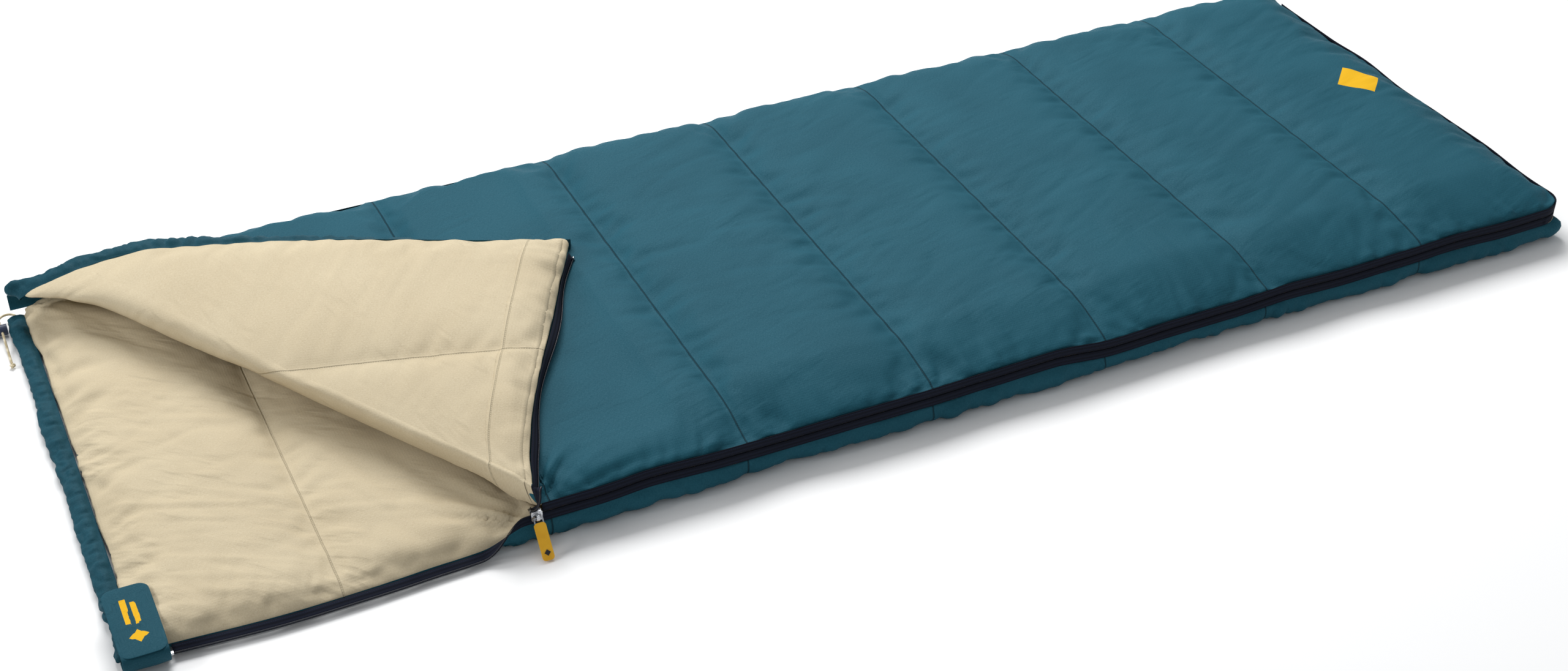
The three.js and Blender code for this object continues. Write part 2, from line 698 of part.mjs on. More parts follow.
// ---- Assembly -----------------------------------------------------------------------
function piece(name, geometry, look) {
  const mesh = new THREE.Mesh(geometry, new THREE.MeshStandardMaterial(LOOKS[look]));
  mesh.name = name;
  return mesh;
}

function assembly(...meshes) {
  return new THREE.Group().add(...meshes);
}

const bottomPanel = assembly(
  piece('bottom_shell', bottomShell(), 'shell'),
  piece('bottom_fill', bottomFill(), 'filling'),
  piece('bottom_lining', bottomLining(), 'lining'),
  piece('bottom_hem', bottomHem(), 'shell'),
  piece('drawcord', drawcord(), 'cord'),
  piece('zip_tape_lower', zipTapeLower(), 'tape'),
  piece('zip_coil_lower', zipCoilLower(), 'coil'),
  piece('zip_end_stop', zipEndStop(), 'metal'),
  piece('lower_top_stop', lowerTopStop(), 'metal'),
  piece('flap_root', flapRoot(), 'shell'),
);

const topPanel = assembly(
  piece('top_shell', mainPart(topShell()), 'shell'),
  piece('top_fill', mainPart(topFill()), 'filling'),
  piece('top_lining', mainPart(topLining()), 'lining'),
  piece('draft_strip', mainPart(draftStrip()), 'lining'),
  piece('zip_tape_upper', zipTapeUpper(), 'tape'),
  piece('zip_coil_upper', zipCoilUpper(), 'coil'),
);

const corner = assembly(
  piece('corner_shell', cornerPart(topShell()), 'shell'),
  piece('corner_fill', cornerPart(topFill()), 'filling'),
  piece('corner_lining', cornerPart(topLining()), 'lining'),
  piece('corner_facing', cornerPart(draftStrip()), 'lining'),
  piece('corner_hem', cornerPart(topHem()), 'shell'),
  piece('corner_drawcord', cornerDrawcord(), 'cord'),
  piece('corner_zip_tape', cornerZipTape(), 'tape'),
  piece('corner_zip_coil', cornerZipCoil(), 'coil'),
  piece('upper_top_stop', upperTopStop(), 'metal'),
  piece('loop_patch', turnBack(loopPatch()), 'hookLoop'),
);

const slider = assembly(
  piece('slider_body', sliderBody(), 'metal'),
  piece('slider_crown', outerCrown(), 'metal'),
  piece('slider_crown_inner', innerCrown(), 'metal'),
  assembly(piece('pull_link', pullLink(), 'metal'), piece('pull_tab', pullTab(), 'tab')),
  assembly(piece('inner_pull', innerPull(), 'metal')),
);

const flap = assembly(
  piece('closure_flap', closureFlap(), 'shell'),
  piece('hook_patch', hookPatch(), 'hookLoop'),
);

const cordLock = assembly(
  piece('cord_lock_barrel', cordLockBarrel(), 'lock'),
  piece('cord_lock_button', cordLockButton(), 'lock'),
);

const group = assembly(bottomPanel, topPanel, corner, slider, flap, cordLock);

export default group;
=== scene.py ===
"""A rectangular quilted sleeping bag on a pale floor, with its zipped corner turned back.

Both quilts are built flat and closed, inflated between their pinned seams by a cloth
simulation, and given the small puckers that stitching makes. The top quilt is then cut
along the fold line, its corner is turned over, and a roll of cloth joins the two.
"flat" is a vertex attribute that keeps each point's place on the uncut cloth, in metres:
the weaves, seams and prints of the materials follow it.
"""
import math

import bmesh
import bpy
import numpy as np
from mathutils import Matrix, Vector
from mathutils.bvhtree import BVHTree
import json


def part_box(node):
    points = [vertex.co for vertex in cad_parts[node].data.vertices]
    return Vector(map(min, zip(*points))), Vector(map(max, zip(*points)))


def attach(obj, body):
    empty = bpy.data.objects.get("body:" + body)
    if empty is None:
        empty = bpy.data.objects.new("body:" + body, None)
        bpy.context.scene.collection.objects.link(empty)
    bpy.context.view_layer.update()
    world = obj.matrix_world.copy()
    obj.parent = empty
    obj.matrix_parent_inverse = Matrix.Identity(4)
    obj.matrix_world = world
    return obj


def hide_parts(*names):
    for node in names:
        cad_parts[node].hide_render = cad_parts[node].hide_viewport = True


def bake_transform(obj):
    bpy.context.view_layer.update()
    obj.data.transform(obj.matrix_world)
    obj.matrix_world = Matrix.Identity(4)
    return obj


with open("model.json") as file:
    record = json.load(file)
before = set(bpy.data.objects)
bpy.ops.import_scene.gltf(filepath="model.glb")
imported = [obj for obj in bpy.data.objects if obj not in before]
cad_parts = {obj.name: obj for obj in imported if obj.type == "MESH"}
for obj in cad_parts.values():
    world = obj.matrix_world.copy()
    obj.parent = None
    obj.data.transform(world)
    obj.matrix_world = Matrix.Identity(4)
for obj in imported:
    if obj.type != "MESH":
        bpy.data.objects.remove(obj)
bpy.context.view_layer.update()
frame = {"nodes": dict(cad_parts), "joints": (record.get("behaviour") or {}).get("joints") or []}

# ---- Sizes and places, from the frame ---------------------------------------------------
def middle_of(node):
    low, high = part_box(node)
    return (low + high) / 2


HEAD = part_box("bottom_hem")[0].x
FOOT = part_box("bottom_shell")[1].x
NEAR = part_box("top_shell")[0].y
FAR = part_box("top_shell")[1].y
MOUTH = middle_of("slider_body").x  # where the zip is open from, towards the head
ZIP_Z = middle_of("slider_body").z
HEM_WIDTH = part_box("bottom_hem")[1].x - HEAD
CHANNELS = 8
CHANNEL = (FOOT - HEAD) / CHANNELS
FOOT_RADIUS = 0.040  # of the rounded corners at the foot
TIP_RADIUS = 0.032  # of the turned corner's loose tip

joints = {joint["name"]: joint for joint in frame["joints"]}
FOLD_POINT = np.array(joints["corner_close"]["pos_m"])
FOLD_AXIS = np.array(joints["corner_close"]["axis"])
FOLD_AXIS /= np.linalg.norm(FOLD_AXIS)
FOLD_NORMAL = np.array([-FOLD_AXIS[1], FOLD_AXIS[0], 0.0])  # level, towards the foot end
FOLD_HALF = FAR / abs(FOLD_AXIS[1])
FOLD_LENGTH = 2 * FOLD_HALF
FOLD_START = FOLD_POINT - FOLD_AXIS * FOLD_HALF  # at the far head corner
FOLD_Z = FOLD_POINT[2]

SEAM_DEPTH = 0.010
BOTTOM_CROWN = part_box("bottom_lining")[1].z - 0.002
BOTTOM_SEAM = BOTTOM_CROWN - SEAM_DEPTH
CLOSED_RIM = 0.0322  # the bottom quilt's edge below the closed zip
OPEN_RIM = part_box("zip_tape_lower")[0].z + 0.001
LOW_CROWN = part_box("corner_shell")[0].z - 0.0025  # the top quilt under the turned corner
HIGH_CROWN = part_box("top_shell")[1].z + 0.008  # the cloth stands proud of the rigid shell
TOP_RIM = 0.0575  # the top quilt's edge above the closed zip
FAR_TOP_RIM = 0.056  # the two quilts' edges by the folded side
FAR_BOTTOM_RIM = 0.020
HEAD_RIM = 0.060  # the top quilt's edge at the head
LINING_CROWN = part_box("top_lining")[0].z
LINING_SEAM = LINING_CROWN + 0.006
TOP_START = HEAD + 0.021  # the top quilt starts here, behind its hem
FAR_IN = 0.006  # the quilts' far edges stop here, inside the cloth that joins them
CORNER_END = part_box("corner_shell")[1].x

ROLL_AT_HEAD = 0.050  # how far beyond the fold line the roll of cloth begins, at each end
ROLL_AT_SLIDER = 0.006
ROLL_BACK = 0.50  # the share by which the roll's front stands back in the middle
ROLL_STEPS = 29  # odd, so that no ring stands at the middle, where the roll's halves part
ROLL_PULL = np.array([-0.040, 0.012, -0.020])  # how it is drawn out at the far head corner
SPREAD = 0.020  # how far the turned corner's loose edges spread
HEM_BULGE = 0.048  # how far its hemmed edge bows out
TIP_SLIDE = 0.018  # how far its tip slides towards the foot
PRESSED_AT_HEAD = 0.36  # the share by which the turned corner thins beside the fold
PRESSED_AT_SLIDER = 0.66
LIFTED = 0.50  # the same for the main part
SINK = 0.15  # how far both sink by the far head corner, as a share of their height

BOW = 0.014  # how far the open lower edge bows outwards
BOW_END = MOUTH - 0.020  # it ends just before the slider
TAPE_WIDTH = 0.0131
TAPE_THICK = 0.0009
PARTING = 0.0009  # half the gap between the closed coils
OPEN_TAPE_START = HEAD + 0.064
OPEN_DROOP = -0.42  # how the open tapes lean, in radians
CORNER_DROOP = 1.15  # how far the turned corner's tapes hang down, in radians

GRID = 0.0095  # spacing of the simulated cloth
CLOTH_FRAMES = 18
PRESSURE = 2.5
SHRINK = -0.035  # negative, so the cloth is cut this much larger than the quilt
MOST_LIFT = 0.007  # the cloth moves no further than this
STRIP_STEP = 0.006  # spacing of the flat strips' stations
STRIP_THICK = 0.0011
HEM_STEP = 0.0024  # spacing of the hems' rings
HEM_SIDES = 28
HEM_FROM = 0.36  # the share of the roll's end at which the corner's hem starts
FREE_END = 0.106  # the drawcord's straight run after its turn
STITCH_WIDTH = 0.0006
TAB_MARK = 0.0042  # the half width of the pull tab's mark
TAB_MARK_RAISED = 0.0003
TAB_MARK_DOWN = 0.0450  # from the tab's axis
TAB_FACE = 0.0014  # from the tab's middle


def srgb(red, green, blue):
    """A linear colour from 8-bit sRGB."""
    def linear(value):
        value /= 255
        return value / 12.92 if value <= 0.04045 else ((value + 0.055) / 1.055) ** 2.4
    return (linear(red), linear(green), linear(blue), 1.0)


def half_turned(direction):
    """A level direction after the half turn about the fold."""
    return 2 * FOLD_AXIS * (FOLD_AXIS @ direction) - np.array(direction, float)


HEM_RUN = half_turned((0, -1, 0))
HEM_OUT = half_turned((-1, 0, 0))


# ---- Camera, floor and light ------------------------------------------------------------
def make_camera():
    """The photograph's viewpoint."""
    azimuth, elevation, roll = (math.radians(v) for v in (-25.39, 35.8, 0.27))
    data = bpy.data.cameras.new("camera")
    data.sensor_width = 36
    data.lens = 50.06
    data.shift_x = 0.0113
    data.shift_y = -0.0059
    data.clip_end = 60
    camera = bpy.data.objects.new("camera", data)
    camera.location = (HEAD - 0.105, NEAR - 2.014, 1.847)
    tilt = Matrix.Rotation(math.pi / 2 - elevation, 3, "X")
    camera.rotation_euler = (Matrix.Rotation(azimuth, 3, "Z") @ tilt
                             @ Matrix.Rotation(roll, 3, "Z")).to_euler()
    bpy.context.scene.collection.objects.link(camera)
    bpy.context.scene.camera = camera


def area_light(name, place, aim, size, watts):
    data = bpy.data.lights.new(name, "AREA")
    data.shape = "RECTANGLE"
    data.size, data.size_y = size
    data.energy = watts
    light = bpy.data.objects.new(name, data)
    light.location = place
    light.rotation_euler = (Vector(aim) - Vector(place)).to_track_quat("-Z", "Y").to_euler()
    bpy.context.scene.collection.objects.link(light)


def make_studio():
    area_light("key", (0.5, 2.9, 3.7), (0.4, 0, 0), (3.6, 2.2), 262)
    area_light("side", (-3.6, 0.3, 2.0), (-0.6, 0, 0), (1.3, 1.3), 44)
    world = bpy.data.worlds.new("studio")
    world.use_nodes = True
    world.node_tree.nodes["Background"].inputs["Color"].default_value = (0.96, 0.98, 1, 1)
    world.node_tree.nodes["Background"].inputs["Strength"].default_value = 0.37
    bpy.context.scene.world = world
    bpy.context.scene.view_settings.view_transform = "Standard"

    floor_mesh = bpy.data.meshes.new("floor")
    reach = 12
    corners = [(-reach, -reach, 0), (reach, -reach, 0), (reach, reach, 0), (-reach, reach, 0)]
    floor_mesh.from_pydata(corners, [], [(0, 1, 2, 3)])
    floor = bpy.data.objects.new("floor", floor_mesh)
    floor.location.z = -0.0008  # clear of the cloth that lies on it
    bpy.context.scene.collection.objects.link(floor)
    paint = Paint("floor", srgb(252, 252, 252), 0.95)
    floor_mesh.materials.append(paint.material)


# ---- Materials --------------------------------------------------------------------------
class Paint:
    """A principled material with short ways to add procedural nodes."""

    def __init__(self, name, colour, roughness, metallic=0.0):
        self.material = bpy.data.materials.new(name)
        self.material.use_nodes = True
        self.tree = self.material.node_tree
        self.shader = self.tree.nodes["Principled BSDF"]
        self.set("Base Color", colour)
        self.set("Roughness", roughness)
        self.set("Metallic", metallic)

    def set(self, socket, value):
        self.shader.inputs[socket].default_value = value

    def link(self, source, target):
        self.tree.links.new(source, target)

    def node(self, kind, inputs=None, **settings):
        made = self.tree.nodes.new("ShaderNode" + kind)
        for key, value in settings.items():
            setattr(made, key, value)
        for key, value in (inputs or {}).items():
            if isinstance(value, bpy.types.NodeSocket):
                self.link(value, made.inputs[key])
            else:
                made.inputs[key].default_value = value
        return made

    def math(self, operation, a, b=0.0):
        return self.node("Math", {0: a, 1: b}, operation=operation).outputs[0]

    def plus(self, a, b):
        return self.math("ADD", a, b)

    def minus(self, a, b):
        return self.math("SUBTRACT", a, b)

    def times(self, a, b):
        return self.math("MULTIPLY", a, b)

    def absolute(self, a):
        return self.math("ABSOLUTE", a)

    def place(self):
        """A point's place on its own rigid piece."""
        return self.node("TexCoord").outputs["Object"]

    def flat(self):
        """The flat attribute's x and y."""
        attribute = self.node("Attribute", attribute_name="flat")
        parts = self.node("SeparateXYZ", {0: attribute.outputs["Vector"]})
        return attribute.outputs["Vector"], parts.outputs[0], parts.outputs[1]

    def stretched(self, vector, scale, turn=0.0):
        turned = self.node("Mapping", {"Vector": vector, "Rotation": (0.0, 0.0, -turn)})
        return self.node("Mapping", {"Vector": turned.outputs[0], "Scale": scale}).outputs[0]

    def noise(self, vector, scale, detail):
        made = self.node("TexNoise", {"Vector": vector, "Scale": scale, "Detail": detail})
        return made.outputs["Fac"]

    def wave(self, vector, pitch, direction, distortion=0.0):
        """Waves of that pitch in metres, since the node counts 20 radians to its own unit.

        Diagonal ones are twice as far apart along X and Y.
        """
        made = self.node("TexWave", {
            "Vector": vector, "Scale": 2 * math.pi / 20 / pitch, "Distortion": distortion,
            "Detail": 1.0, "Detail Scale": 2.0,
        }, wave_type="BANDS", bands_direction=direction)
        return made.outputs["Fac"]

    def ramp(self, value, low, high, start=0.0, end=1.0):
        """Value mapped smoothly from low..high to start..end."""
        made = self.node("MapRange", {
            "Value": value, "From Min": low, "From Max": high, "To Min": start, "To Max": end,
        }, interpolation_type="SMOOTHSTEP")
        return made.outputs[0]

    def mix(self, factor, a, b):
        made = self.tree.nodes.new("ShaderNodeMix")
        made.data_type = "RGBA"
        for key, value in (("Factor", factor), ("A", a), ("B", b)):
            kind = "VALUE" if key == "Factor" else "RGBA"
            socket = next(s for s in made.inputs if s.name == key and s.type == kind)
            if isinstance(value, bpy.types.NodeSocket):
                self.link(value, socket)
            else:
                socket.default_value = value
        return next(s for s in made.outputs if s.type == "RGBA")

    def colour(self, socket):
        self.link(socket, self.shader.inputs["Base Color"])

    def vary_roughness(self, value, start, end):
        self.link(self.ramp(value, 0.3, 0.7, start, end), self.shader.inputs["Roughness"])

    def bump(self, *layers):
        """Bumps one on another: each is (height socket, distance in metres, strength)."""
        normal = None
        for height, distance, strength in layers:
            inputs = {"Height": height, "Distance": distance, "Strength": strength}
            if normal is not None:
                inputs["Normal"] = normal
            normal = self.node("Bump", inputs).outputs[0]
        self.link(normal, self.shader.inputs["Normal"])


def weave(paint, vector, pitch):
    """Height of a plain weave of that pitch."""
    across = paint.wave(vector, pitch, "X", distortion=0.6)
    along = paint.wave(vector, pitch, "Y", distortion=0.6)
    return paint.math("MAXIMUM", across, along)


def seam_distance(paint, x):
    """Distance from the nearest quilting seam; large where there is none."""
    place = paint.math("DIVIDE", paint.minus(x, HEAD), CHANNEL)
    off = paint.absolute(paint.minus(place, paint.math("ROUND", place)))
    inside = paint.times(paint.math("GREATER_THAN", place, 0.5),
                         paint.math("LESS_THAN", place, CHANNELS - 0.5))
    return paint.plus(paint.times(off, CHANNEL), paint.minus(1.0, inside))


def stitch_line(paint, distance, along, length=0.0032):
    """(mask of the thread, mask of the pressed line under it) along a line of stitches."""
    phase = paint.math("FRACT", paint.math("DIVIDE", along, length))
    dash = paint.times(paint.ramp(phase, 0.0, 0.14), paint.ramp(phase, 0.80, 0.66))
    thread = paint.times(dash, paint.ramp(distance, STITCH_WIDTH, STITCH_WIDTH * 0.5))
    return thread, paint.ramp(distance, STITCH_WIDTH * 3.2, 0.0)


TEAL = srgb(20, 72, 87)
TEAL_LIGHT = srgb(33, 88, 104)
CREAM = srgb(186, 171, 142)
CREAM_LIGHT = srgb(203, 190, 162)
NAVY = srgb(9, 12, 21)
NAVY_LIGHT = srgb(25, 30, 46)
PRINT = srgb(226, 174, 24)

# The spacing of the waves that stand for threads, for the tape's ribs and for the strands.
SHELL_PITCH = 0.003456
LINING_PITCH = 0.003770
RIB_PITCH = 0.005655
BRAID_PITCH = 0.010053


def cloth_paint(name, colours, thread_colour, seam_groove_shade, pitch, creasing, seams=True,
                edge_seam=None, printed=None):
    """A woven cloth: weave, uneven threads, faint creases and stitched seams.

    groove is the share by which the cloth is painted darker along its seams, as painted shade in
    their hollows; creasing is the creases' angle and height.
    """
    colour, light = colours
    paint = Paint(name, colour, 0.7)
    vector, x, y = paint.flat()
    threads = paint.noise(paint.stretched(vector, (1.0, 6.0, 1.0)), 300, 3)
    cross_threads = paint.noise(paint.stretched(vector, (6.0, 1.0, 1.0)), 300, 3)
    mottle = paint.times(paint.plus(threads, cross_threads), 0.5)
    cloudy = paint.noise(vector, 7, 3)
    tone = paint.plus(paint.ramp(mottle, 0.36, 0.64, 0, 0.7), paint.ramp(cloudy, 0.3, 0.7, 0, 0.3))
    shade = paint.mix(tone, colour, light)
    fine = weave(paint, vector, pitch)
    angle, amount = creasing
    long_noise = paint.noise(paint.stretched(vector, (6.0, 24.0, 1.0), angle), 1, 3)
    ridge = paint.absolute(paint.minus(long_noise, 0.5))
    patches = paint.ramp(paint.noise(vector, 9, 2), 0.42, 0.62)
    creases = paint.times(paint.ramp(ridge, 0.0, 0.14), patches)
    layers = [(creases, amount, 0.5), (mottle, 0.0009, 0.30), (fine, 0.0003, 0.30)]
    seam_masks = []
    if seams:
        seam_masks.append(stitch_line(paint, seam_distance(paint, x), y))
    if edge_seam is not None:
        seam_masks.append(stitch_line(paint, paint.absolute(paint.minus(y, edge_seam)), x))
    # Painted shade along the seams: a darker copy of the colour, mixed in along the pressed line
    # under the stitches.
    seam_shade_colour = tuple(channel * 0.25 for channel in colour[:3]) + (1.0,)
    for thread, pressed in seam_masks:
        shade = paint.mix(paint.times(pressed, seam_groove_shade), shade, seam_shade_colour)
        shade = paint.mix(paint.times(thread, 0.8), shade, thread_colour)
        layers += [(pressed, -0.0014, 0.9), (thread, 0.0005, 0.8)]
    if printed is not None:
        shade = paint.mix(printed(paint, x, y), shade, PRINT)
    paint.colour(shade)
    paint.bump(*layers)
    paint.vary_roughness(mottle, 0.80, 0.62)
    paint.set("Sheen Weight", 0.08)
    paint.set("Sheen Roughness", 0.4)
    paint.set("Sheen Tint", light)
    paint.set("Specular IOR Level", 0.14)
    return paint.material


def shell_paint(name, seams=True, printed=None, depth=1.0):
    """The shell cloth; a depth below 1 makes a darker copy of its colours, which paints in shade,
    such as the shade among a hem's gathers.
    """
    colours = [tuple(depth * channel for channel in colour[:3]) + (1.0,)
               for colour in (TEAL, TEAL_LIGHT)]
    # 0.85 is how far the shell's seams are painted darker, as shade in their hollows.
    return cloth_paint(name, colours, srgb(24, 56, 68), 0.85, SHELL_PITCH, (0.3, 0.0012), seams,
                       printed=printed)


def lining_paint(name, edge_seam=None):
    # 0.30 is the lining's fainter painted shade along its seams.
    return cloth_paint(name, (CREAM, CREAM_LIGHT), srgb(206, 192, 160), 0.30, LINING_PITCH,
                       (-0.7, 0.0026), edge_seam=edge_seam)


def marks(diamonds, bars):
    """Plain printed diamonds and plain bars, as a mask in flat coordinates."""
    def mask(paint, x, y):
        total = 0.0
        for centre_x, centre_y, *size in diamonds + bars:
            off_x = paint.absolute(paint.minus(x, centre_x))
            off_y = paint.absolute(paint.minus(y, centre_y))
            if len(size) == 1:
                shape = paint.math("LESS_THAN", paint.plus(off_x, off_y), size[0])
            else:
                shape = paint.times(paint.math("LESS_THAN", off_x, size[0]),
                                    paint.math("LESS_THAN", off_y, size[1]))
            total = paint.plus(total, shape)
        return total
    return mask


def tape_paint():
    """Woven zip tape: ribs along its length and a line of stitches by the sewn edge."""
    paint = Paint("zip_tape", NAVY, 0.85)
    vector, x, y = paint.flat()
    ribs = paint.wave(vector, RIB_PITCH, "Y")
    threads = paint.noise(paint.stretched(vector, (6.0, 1.0, 1.0)), 500, 3)
    tone = paint.plus(paint.times(ribs, 0.5), paint.ramp(threads, 0.3, 0.7, 0, 0.5))
    shade = paint.mix(tone, NAVY, NAVY_LIGHT)
    distance = paint.absolute(paint.minus(y, 0.0028))
    thread, pressed = stitch_line(paint, distance, x, 0.0028)
    paint.colour(paint.mix(thread, shade, srgb(30, 37, 54)))
    paint.bump((ribs, 0.0004, 0.5), (threads, 0.0005, 0.3), (pressed, -0.0006, 0.6),
               (thread, 0.0004, 0.8))
    paint.set("Specular IOR Level", 0.15)
    return paint.material


def coil_paint():
    paint = Paint("zip_coil", NAVY, 0.38)
    vector, _, _ = paint.flat()
    rub = paint.noise(vector, 900, 2)
    paint.colour(paint.mix(paint.ramp(rub, 0.35, 0.75), srgb(8, 11, 20), srgb(28, 34, 50)))
    paint.bump((rub, 0.0002, 0.4))
    paint.set("Specular IOR Level", 0.40)
    return paint.material


def metal_paint():
    """Polished plated die casting with faint scratches and darker stains."""
    paint = Paint("plated_metal", srgb(196, 199, 203), 0.24, 1.0)
    place = paint.place()
    scratches = paint.noise(paint.stretched(place, (1.0, 1.0, 9.0)), 900, 4)
    stains = paint.noise(place, 220, 3)
    stained = paint.ramp(stains, 0.35, 0.75)
    paint.colour(paint.mix(stained, srgb(212, 214, 217), srgb(150, 153, 160)))
    paint.vary_roughness(scratches, 0.16, 0.38)
    paint.bump((scratches, 0.0001, 0.25), (stains, 0.0003, 0.15))
    return paint.material


def moulded_paint(name, colour, light, roughness):
    """Injection-moulded plastic with a fine spark texture and rubbed edges."""
    paint = Paint(name, colour, roughness)
    place = paint.place()
    grain = paint.noise(place, 2600, 2)
    flow = paint.noise(place, 60, 3)
    rubbed = paint.ramp(paint.node("NewGeometry").outputs["Pointiness"], 0.52, 0.62)
    tone = paint.plus(paint.ramp(flow, 0.35, 0.65, 0, 0.5), paint.times(rubbed, 0.5))
    paint.colour(paint.mix(tone, colour, light))
    paint.bump((flow, 0.0004, 0.15), (grain, 0.00012, 0.35))
    paint.vary_roughness(grain, roughness - 0.05, roughness + 0.08)
    return paint.material


def cord_paint():
    """Braided cord: two sets of slanting strands."""
    paint = Paint("cord", CREAM, 0.85)
    vector, _, _ = paint.flat()
    left = paint.wave(vector, BRAID_PITCH, "DIAGONAL")
    right = paint.wave(paint.stretched(vector, (1.0, -1.0, 1.0)), BRAID_PITCH, "DIAGONAL")
    braid = paint.times(left, right)
    paint.colour(paint.mix(braid, srgb(176, 160, 124), srgb(231, 219, 190)))
    paint.bump((braid, 0.0006, 0.8))
    paint.set("Sheen Weight", 0.3)
    return paint.material


def hook_paint():
    paint = Paint("hook_and_loop", srgb(24, 28, 34), 0.95)
    tufts = paint.node("TexVoronoi", {"Vector": paint.place(), "Scale": 900.0}).outputs["Distance"]
    paint.colour(paint.mix(tufts, srgb(46, 52, 62), srgb(14, 17, 21)))
    paint.bump((tufts, -0.0008, 0.9))
    return paint.material


# ---- Meshes -----------------------------------------------------------------------------
def new_piece(name, points, faces, flat, materials, which=None, is_smooth=True):
    """A mesh object; flat holds each point's place on the cloth, for the materials."""
    mesh = bpy.data.meshes.new(name)
    mesh.from_pydata([tuple(p) for p in points], [], [tuple(int(i) for i in f) for f in faces])
    attribute = mesh.attributes.new("flat", "FLOAT_VECTOR", "POINT")
    attribute.data.foreach_set("vector", np.asarray(flat, np.float32).ravel())
    for material in materials:
        mesh.materials.append(material)
    if which is not None:
        mesh.polygons.foreach_set("material_index", np.asarray(which, np.int32))
    mesh.polygons.foreach_set("use_smooth", np.full(len(mesh.polygons), is_smooth))
    mesh.validate()
    piece = bpy.data.objects.new(name, mesh)
    bpy.context.scene.collection.objects.link(piece)
    return piece


def values_of(items, name, kind=float):
    """A vector that each item of a mesh has, one row each."""
    values = np.empty(len(items) * 3, kind)
    items.foreach_get(name, values)
    return values.reshape(-1, 3).astype(float)


def coordinates(mesh):
    return values_of(mesh.vertices, "co")


def set_coordinates(mesh, co):
    mesh.vertices.foreach_set("co", np.asarray(co, float).ravel())
    mesh.update()


def flat_of(mesh):
    return values_of(mesh.attributes["flat"].data, "vector", np.float32)


def outward(mesh):
    return values_of(mesh.vertices, "normal")


def subdivided(piece):
    """Applies one more level of subdivision, and the modifiers before it."""
    modifier = piece.modifiers.new("Subdivision", "SUBSURF")
    modifier.levels = modifier.render_levels = 1
    graph = bpy.context.evaluated_depsgraph_get()
    graph.update()
    mesh = bpy.data.meshes.new_from_object(piece.evaluated_get(graph))
    piece.modifiers.clear()
    old = piece.data
    piece.data = mesh
    bpy.data.meshes.remove(old)


# ---- Uneven surfaces --------------------------------------------------------------------
def value_noise(u, v, seed):
    """Smooth noise from 0 to 1 on a unit lattice."""
    iu, iv = np.floor(u), np.floor(v)
    fu, fv = u - iu, v - iv
    fu, fv = fu * fu * (3 - 2 * fu), fv * fv * (3 - 2 * fv)

    def corner(a, b):
        value = np.sin(a * 127.1 + b * 311.7 + seed * 74.7) * 43758.5453
        return value - np.floor(value)

    low = corner(iu, iv) * (1 - fu) + corner(iu + 1, iv) * fu
    high = corner(iu, iv + 1) * (1 - fu) + corner(iu + 1, iv + 1) * fu
    return low * (1 - fv) + high * fv


def creased(u, v, seed):
    """Rounded ridges between sharp valleys, from -0.5 to 0.5."""
    rough = 0.65 * value_noise(u, v, seed) + 0.35 * value_noise(2.1 * u + 5, 2.1 * v, seed + 3)
    return np.abs(2 * rough - 1) ** 0.8 - 0.5


def folds(x, y, angle, width, length, seed):
    """Patches of creases that run at an angle from the X axis."""
    c, s = math.cos(angle), math.sin(angle)
    along, across = x * c + y * s, y * c - x * s
    patch = smooth(value_noise(along / (1.6 * length), across / (5 * width), seed + 9), 0.3, 0.75)
    return patch * creased(across / width, along / length, seed)


def ease(distance, reach):
    """0 at an edge, rising like a quarter circle to 1 at reach."""
    part = np.clip(distance / reach, 0, 1)
    return np.sqrt(1 - (1 - part) ** 2)


def incline(distance, reach):
    """0 at an edge, rising steadily to a soft shoulder at reach."""
    return 1 - (1 - np.clip(distance / reach, 0, 1)) ** 1.25


def smooth(value, low, high):
    part = np.clip((value - low) / (high - low), 0, 1)
    return part * part * (3 - 2 * part)


def crown(x, power):
    """0 on a quilting seam, 1 in the middle of a channel."""
    across = ((x - HEAD) / CHANNEL) % 1
    return 1 - np.abs(2 * across - 1) ** power


def bow(x):
    """How far the open lower edge bows outwards."""
    part = np.clip((x - HEAD) / (BOW_END - HEAD), 0, 1)
    return BOW * np.sin(math.pi * part)


def rounding(past, radius):
    """How far a rounded corner lies inside its edge, for places past the corner's start."""
    return radius - np.sqrt(radius ** 2 - np.clip(past, 0, radius) ** 2)


def wander(place, seed, size):
    """The zip's slow unevenness along the edge, none of it near the slider."""
    away = smooth(np.abs(place - MOUTH - NEAR), 0.03, 0.16)
    return away * size * (value_noise(place / 0.10, 0, seed) - 0.5)


def rise(place):
    return wander(place, 3, 0.0075)


def sway(place):
    return wander(place, 5, 0.0050)


def near_rim(x):
    shut = smooth(x, MOUTH - 0.075, MOUTH - 0.012)
    return OPEN_RIM + (CLOSED_RIM - OPEN_RIM) * shut + shut * rise(x + NEAR)


# ---- Quilts -----------------------------------------------------------------------------
# How the quilts' near and foot sides are shaped: their closer rows, and by the distance from
# the edge how far the lower face moves in and what share of the rim's height is left.
SIDE_STEPS = np.array([0, 0.005, 0.011, 0.018, 0.026, 0.035])
SIDE_PULL = ([0, 0.005, 0.011, 0.018, 0.026, 0.035, 0.045, 0.060, 0.080],
             [0, 0.010, 0.0175, 0.0215, 0.0220, 0.0190, 0.0150, 0.0080, 0])
SIDE_DROP = ([0, 0.005, 0.011, 0.018, 0.026, 0.035], [1, 0.72, 0.44, 0.19, 0.04, 0])
SIDE_HELD = 0.04  # this near to those edges, the simulation doesn't move the lower face


def stations(start):
    """Places along a quilt: even between its seams, and set by SIDE_STEPS at the foot."""
    per_channel = round(CHANNEL / GRID)
    xs = [np.linspace(start, HEAD + CHANNEL, per_channel)]
    for k in range(1, CHANNELS):
        seam, next_seam = HEAD + k * CHANNEL, HEAD + (k + 1) * CHANNEL
        xs.append(np.linspace(seam, next_seam, per_channel + 1)[1:])
    xs = np.concatenate(xs)
    return np.concatenate([xs[xs < FOOT - SIDE_STEPS[-1] - GRID / 2], FOOT - SIDE_STEPS[::-1]])


